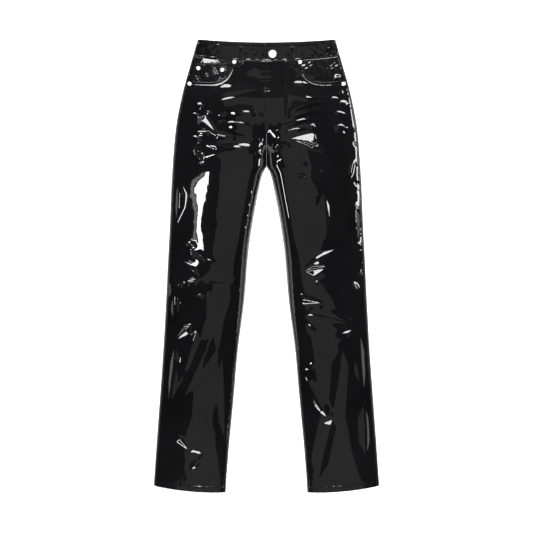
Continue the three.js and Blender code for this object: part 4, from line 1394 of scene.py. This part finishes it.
def loop_rows():
    """Edge rows and bar tacks on the front belt loops."""
    rows = []
    for _, x0, bottom in FRONT_LOOPS:
        y = np.linspace(bottom + LOOP_ROW_INSET, LOOP_TOP - LOOP_ROW_INSET, SHORT_POINTS)
        for side in (-1, 1):
            x = np.full(SHORT_POINTS, x0 + side * (LOOP_WIDTH / 2 - RAIL_INSET))
            rows.append(stitch_row(x, y, loop_lift(x, y) - SUNK))
        x = np.linspace(x0 - TACK_REACH, x0 + TACK_REACH, TACK_POINTS)
        for tack in (bottom + TACK_INSET, LOOP_TOP - TACK_INSET):
            for step in TACK_STEPS:
                y = np.full(TACK_POINTS, tack + step)
                rows.append(stitch_row(x, y, loop_lift(x, y)))
    return rows


BACK_SUNK = -0.3
BACK_ROW_INSETS = (3.0, 9.0)
SEAT_SEAM = (245.0, 398.0)
YOKE_ROW_END = 178.0
POCKET_ROW_TOP = 1.0


def pocket_path(side, inset):
    """The sides and pointed bottom of a back pocket, moved in by an inset, from its inner
    top corner to its outer one."""
    middle, half = (POCKET_INNER + POCKET_OUTER) / 2, (POCKET_OUTER - POCKET_INNER) / 2 - inset
    corners = np.array([
        (-half, POCKET_TOP - POCKET_ROW_TOP),
        (POCKET_TAPER - half, POCKET_SHOULDER + inset),
        (0, POCKET_POINT + inset),
        (half - POCKET_TAPER, POCKET_SHOULDER + inset),
        (half, POCKET_TOP - POCKET_ROW_TOP),
    ])
    reach = np.concatenate([[0], np.cumsum(np.linalg.norm(np.diff(corners, axis=0), axis=1))])
    at = np.linspace(0, reach[-1], LONG_POINTS)
    x, y = (np.interp(at, reach, corners[:, k]) for k in range(2))
    return side * (middle + x), y


def back_rows():
    """Rows of the underside, sunk so that it still lies flat: two above each yoke seam, two
    round each back pocket and two beside the seat seam."""
    rows = []
    for inset in BACK_ROW_INSETS:
        for side in (-1, 1):
            x = side * np.linspace(inset, YOKE_ROW_END, LONG_POINTS)
            seam = lerp(YOKE_MIDDLE, YOKE_SIDE, np.abs(x) / side_edge(YOKE_SIDE))
            rows.append(stitch_row(x, seam + inset, BACK_SUNK, False))
            rows.append(stitch_row(*pocket_path(side, inset), BACK_SUNK, False))
        y = np.linspace(*SEAT_SEAM, ROW_POINTS)
        rows.append(stitch_row(np.full(ROW_POINTS, inset), y, BACK_SUNK, False))
    return rows


def stitching(name, rows):
    looks = bpy.context.scene.trousers_stitch
    points, faces = stitch_forms(rows, looks.stitch_length / MM, looks.stitch_pitch / MM,
                                 looks.thread_thickness / MM)
    piece = make_piece(name, points, faces.tolist(), material_of("bonded polyester thread"),
                       STITCH_SHARP)
    return piece


# Stage

FLOOR_REACH = 7.0
COVE_RADIUS = 1.5
COVE_TOP = 2.4
FLOOR_RINGS = (0.5, 1, 2, 4)
FLOOR_SIDES = 96
COVE_STEPS = 16
FLOOR_DROP = 0.0004


def floor_and_cove():
    """A round floor that turns up into a low pale wall: a profile turned about the centre."""
    material, tree = new_material("matt studio floor")
    looks = bpy.context.scene.trousers_stage
    shader = add_node(tree, "ShaderNodeBsdfPrincipled", values={
        "Base Color": (*looks.floor_colour, 1),
        "Roughness": 0.9,
        "Specular IOR Level": 0.1,
        "Emission Color": (1, 1, 1, 1),
        "Emission Strength": looks.floor_glow,
    })
    finish_material(tree, shader)
    turn = np.linspace(0, math.pi / 2, COVE_STEPS)
    radius = np.concatenate([FLOOR_RINGS, FLOOR_REACH + COVE_RADIUS * np.sin(turn),
                             [FLOOR_REACH + COVE_RADIUS]])
    height = np.concatenate([np.zeros(len(FLOOR_RINGS)), COVE_RADIUS * (1 - np.cos(turn)),
                             [COVE_TOP]])
    sides = FLOOR_SIDES
    angle = np.linspace(0, 2 * math.pi, sides, endpoint=False)
    points = np.stack([radius[:, None] * np.cos(angle), radius[:, None] * np.sin(angle),
                       height[:, None] + np.zeros(sides)], axis=-1).reshape(-1, 3)
    points = np.concatenate([points, [[0, 0, 0]]])
    points[:, 2] -= FLOOR_DROP
    at = np.arange(len(radius) * sides).reshape(len(radius), sides)
    after = np.roll(at, -1, axis=1)
    quads = np.stack([at[:-1], at[1:], after[1:], after[:-1]], axis=-1).reshape(-1, 4)
    centre = [[len(points) - 1, a, b] for a, b in zip(at[0].tolist(), after[0].tolist())]
    mesh = bpy.data.meshes.new("studio_floor")
    mesh.from_pydata(points, [], quads.tolist() + centre)
    mesh.shade_smooth()
    mesh.materials.append(material)
    floor = bpy.data.objects.new("studio_floor", mesh)
    bpy.context.scene.collection.objects.link(floor)


# Soft boxes and panels: where they stand and what they aim at, in metres, their width and
# length, and the brightness of their faces
LIGHTS = (
    ("left strip box", (-0.865, 0.23, 2.0), (-0.18, 0.14, 0), (0.12, 0.5), 30),
    ("left strip's bounce", (-0.985, 0.23, 2.0), (-0.18, 0.14, 0), (0.06, 0.5), 3),
    ("low soft box", (0.0, -1.5, 1.9), (0.0, -0.2, 0), (3.2, 0.26), 19),
    ("right soft box", (1.55, 0.6, 1.6), (0.1, 0.15, 0), (0.35, 0.8), 20),
    ("top soft box", (0.0, 1.75, 1.9), (0.0, 0.1, 0), (4.2, 0.42), 19),
    ("overhead panel", (0.06, -0.1, 4.0), (0.06, -0.1, 0), (1.6, 4.0), 0.34),
    ("left fill", (-4.2, 0.0, 1.9), (0, 0, 0), (1.0, 4.0), 2.0),
    ("right fill", (4.2, 0.0, 1.9), (0, 0, 0), (1.0, 4.0), 2.0),
)


def area_light(name, place, aim, size, radiance):
    """An area light whose face has this radiance: its power is radiance * pi * its area."""
    looks = bpy.context.scene.trousers_stage
    data = bpy.data.lights.new(name, "AREA")
    data.shape = "RECTANGLE"
    data.size, data.size_y = size
    data.energy = looks.light_level * radiance * math.pi * size[0] * size[1]
    light = bpy.data.objects.new(name, data)
    light.location = place
    away = (Vector(place) - Vector(aim)).normalized()
    across = Vector((0, 1, 0)).cross(away).normalized()
    turn = Matrix((across, away.cross(across), away)).transposed()
    light.rotation_euler = turn.to_euler()
    light.visible_camera = False
    bpy.context.scene.collection.objects.link(light)


CAMERA_HEIGHT = 3.0
CAMERA_LENS = 88.1
CAMERA_SENSOR = 36.0
CAMERA_SHIFT_Y = -0.001


def camera():
    """The camera straight above the garment, as far off as a studio's copy stand allows."""
    data = bpy.data.cameras.new("camera")
    data.lens = CAMERA_LENS
    data.sensor_width = CAMERA_SENSOR
    made = bpy.data.objects.new("camera", data)
    made.location = (0, CAMERA_SHIFT_Y, CAMERA_HEIGHT)
    bpy.context.scene.collection.objects.link(made)
    bpy.context.scene.camera = made


def dim_world():
    looks = bpy.context.scene.trousers_stage
    world = bpy.data.worlds.new("dim studio")
    world.use_nodes = True
    background = world.node_tree.nodes["Background"]
    background.inputs["Color"].default_value = (1, 1, 1, 1)
    background.inputs["Strength"].default_value = looks.room_light
    bpy.context.scene.world = world
    bpy.context.scene.view_settings.view_transform = "Standard"


# Add-on


def shade_property(name, description, colour):
    return FloatVectorProperty(name=name, description=description, default=linear(colour),
                               subtype="COLOR", size=3, min=0, max=1)


def length_property(name, description, millimetres):
    return FloatProperty(name=name, description=description, default=millimetres * MM,
                         subtype="DISTANCE", unit="LENGTH", min=0, precision=5)


def factor_property(name, description, default, most=1.0):
    return FloatProperty(name=name, description=description, default=default,
                         subtype="FACTOR", min=0, max=most)


class TrousersFinish(bpy.types.PropertyGroup):
    leather_colour: shade_property("Leather colour", "Colour under the lacquer", 0x040405)
    facing_colour: shade_property("Facing colour", "Colour of the pocket facings", 0x060607)
    thread_colour: shade_property("Thread colour", "Colour of the stitching", 0x0E0E10)
    metal_colour: shade_property("Metal colour", "Colour of the button and rivets", 0xE6E6E4)
    leather_roughness: factor_property("Leather roughness", "Roughness under the lacquer", 0.42)
    gloss_roughness: factor_property("Gloss roughness", "Roughness of the lacquer", 0.03)
    wave_height: FloatProperty(name="Wave height", default=0.05, min=0, max=1,
                               description="Height of the film's waves, in mm")
    grain_height: FloatProperty(name="Grain height", default=0.012, min=0, max=1,
                                description="Height of the hide's grain, in mm")


class TrousersStitch(bpy.types.PropertyGroup):
    thread_thickness: length_property("Thread thickness", "Thickness of the sewing thread", 0.75)
    stitch_length: length_property("Stitch length", "Length of one stitch on top", 2.7)
    stitch_pitch: length_property("Stitch pitch", "Way from one stitch to the next", 3.2)


class TrousersStage(bpy.types.PropertyGroup):
    floor_colour: shade_property("Floor colour", "Colour of the studio floor", 0xFAFAFA)
    floor_glow: factor_property("Floor glow", "Light that the floor gives off", 0.62, 2.0)
    light_level: factor_property("Light level", "Brightness of every lamp", 1.0, 4.0)
    room_light: factor_property("Room light", "Brightness of the room", 0.04)


class PieceOperator:
    """Shared settings of the operators that make the pieces."""

    bl_options = {"REGISTER", "UNDO"}

    def execute(self, context):
        self.make()
        return {"FINISHED"}


class TROUSERS_OT_fronts(PieceOperator, bpy.types.Operator):
    """Make the two creased front panels"""

    bl_idname = "trousers.fronts"
    bl_label = "Front Panels"

    def make(self):
        for hand, side in SIDES:
            front_panel(hand, side)


class TROUSERS_OT_backs(PieceOperator, bpy.types.Operator):
    """Make the two back panels and the yokes above them"""

    bl_idname = "trousers.backs"
    bl_label = "Back Panels and Yokes"

    def make(self):
        for hand, side in SIDES:
            back_panel(hand, side)
            yoke(hand, side)


class TROUSERS_OT_waistband(PieceOperator, bpy.types.Operator):
    """Make the waistband"""

    bl_idname = "trousers.waistband"
    bl_label = "Waistband"

    def make(self):
        waistband()


class TROUSERS_OT_pockets(PieceOperator, bpy.types.Operator):
    """Make the pocket facings, the coin pocket and the back pockets"""

    bl_idname = "trousers.pockets"
    bl_label = "Pockets"

    def make(self):
        facing("right", -1, 2 * LAYER)
        facing("left", 1, LAYER)
        coin_pocket()
        for hand, side in SIDES:
            back_pocket(hand, side)


class TROUSERS_OT_loops(PieceOperator, bpy.types.Operator):
    """Make the five belt loops"""

    bl_idname = "trousers.loops"
    bl_label = "Belt Loops"

    def make(self):
        for hand, x0, bottom in FRONT_LOOPS:
            front_loop(hand, x0, bottom)
        for place, x0 in zip(("right", "centre", "left"), BACK_LOOPS):
            back_loop(place, x0)


class TROUSERS_OT_metal(PieceOperator, bpy.types.Operator):
    """Make the button and the rivets"""

    bl_idname = "trousers.metal"
    bl_label = "Button and Rivets"

    def make(self):
        metal_piece("waist_button", "button", BUTTON_PROFILE)
        for node in RIVET_NODES:
            metal_piece(f"stud_{node[6:]}", node, RIVET_PROFILE)


class TROUSERS_OT_stitching(PieceOperator, bpy.types.Operator):
    """Sew every visible seam"""

    bl_idname = "trousers.stitching"
    bl_label = "Stitching"

    def make(self):
        stitching("thread_fronts", front_rows())
        stitching("thread_waistband", band_rows())
        stitching("thread_coin_pocket", coin_rows())
        stitching("thread_loops", loop_rows())
        stitching("thread_back", back_rows())


class TROUSERS_OT_stage(PieceOperator, bpy.types.Operator):
    """Set up the floor, the lights and the camera"""

    bl_idname = "trousers.stage"
    bl_label = "Stage"

    def make(self):
        floor_and_cove()
        for light in LIGHTS:
            area_light(*light)
        dim_world()
        camera()


OPERATORS = (
    TROUSERS_OT_fronts,
    TROUSERS_OT_backs,
    TROUSERS_OT_waistband,
    TROUSERS_OT_pockets,
    TROUSERS_OT_loops,
    TROUSERS_OT_metal,
    TROUSERS_OT_stitching,
    TROUSERS_OT_stage,
)


class TROUSERS_PT_panel(bpy.types.Panel):
    """Lists the pieces of the trousers"""

    bl_idname = "TROUSERS_PT_panel"
    bl_label = "Trousers"
    bl_space_type = "VIEW_3D"
    bl_region_type = "UI"
    bl_category = "Trousers"

    def draw(self, context):
        layout = self.layout
        for settings in (context.scene.trousers_finish, context.scene.trousers_stitch,
                         context.scene.trousers_stage):
            box = layout.box()
            for name in settings.bl_rna.properties.keys():
                if name not in {"rna_type", "name"}:
                    box.prop(settings, name)
        for operator in OPERATORS:
            layout.operator(operator.bl_idname)


GROUPS = (
    ("trousers_finish", TrousersFinish),
    ("trousers_stitch", TrousersStitch),
    ("trousers_stage", TrousersStage),
)


def register():
    for _, group in GROUPS:
        bpy.utils.register_class(group)
    for operator in (*OPERATORS, TROUSERS_PT_panel):
        bpy.utils.register_class(operator)
    for name, group in GROUPS:
        setattr(bpy.types.Scene, name, PointerProperty(type=group))


def unregister():
    for name, _ in GROUPS:
        delattr(bpy.types.Scene, name)
    for operator in (TROUSERS_PT_panel, *reversed(OPERATORS)):
        bpy.utils.unregister_class(operator)
    for _, group in reversed(GROUPS):
        bpy.utils.unregister_class(group)


def main():
    register()
    for operator in OPERATORS:
        group, name = operator.bl_idname.split(".")
        getattr(getattr(bpy.ops, group), name)()


if __name__ == "__main__":
    main()
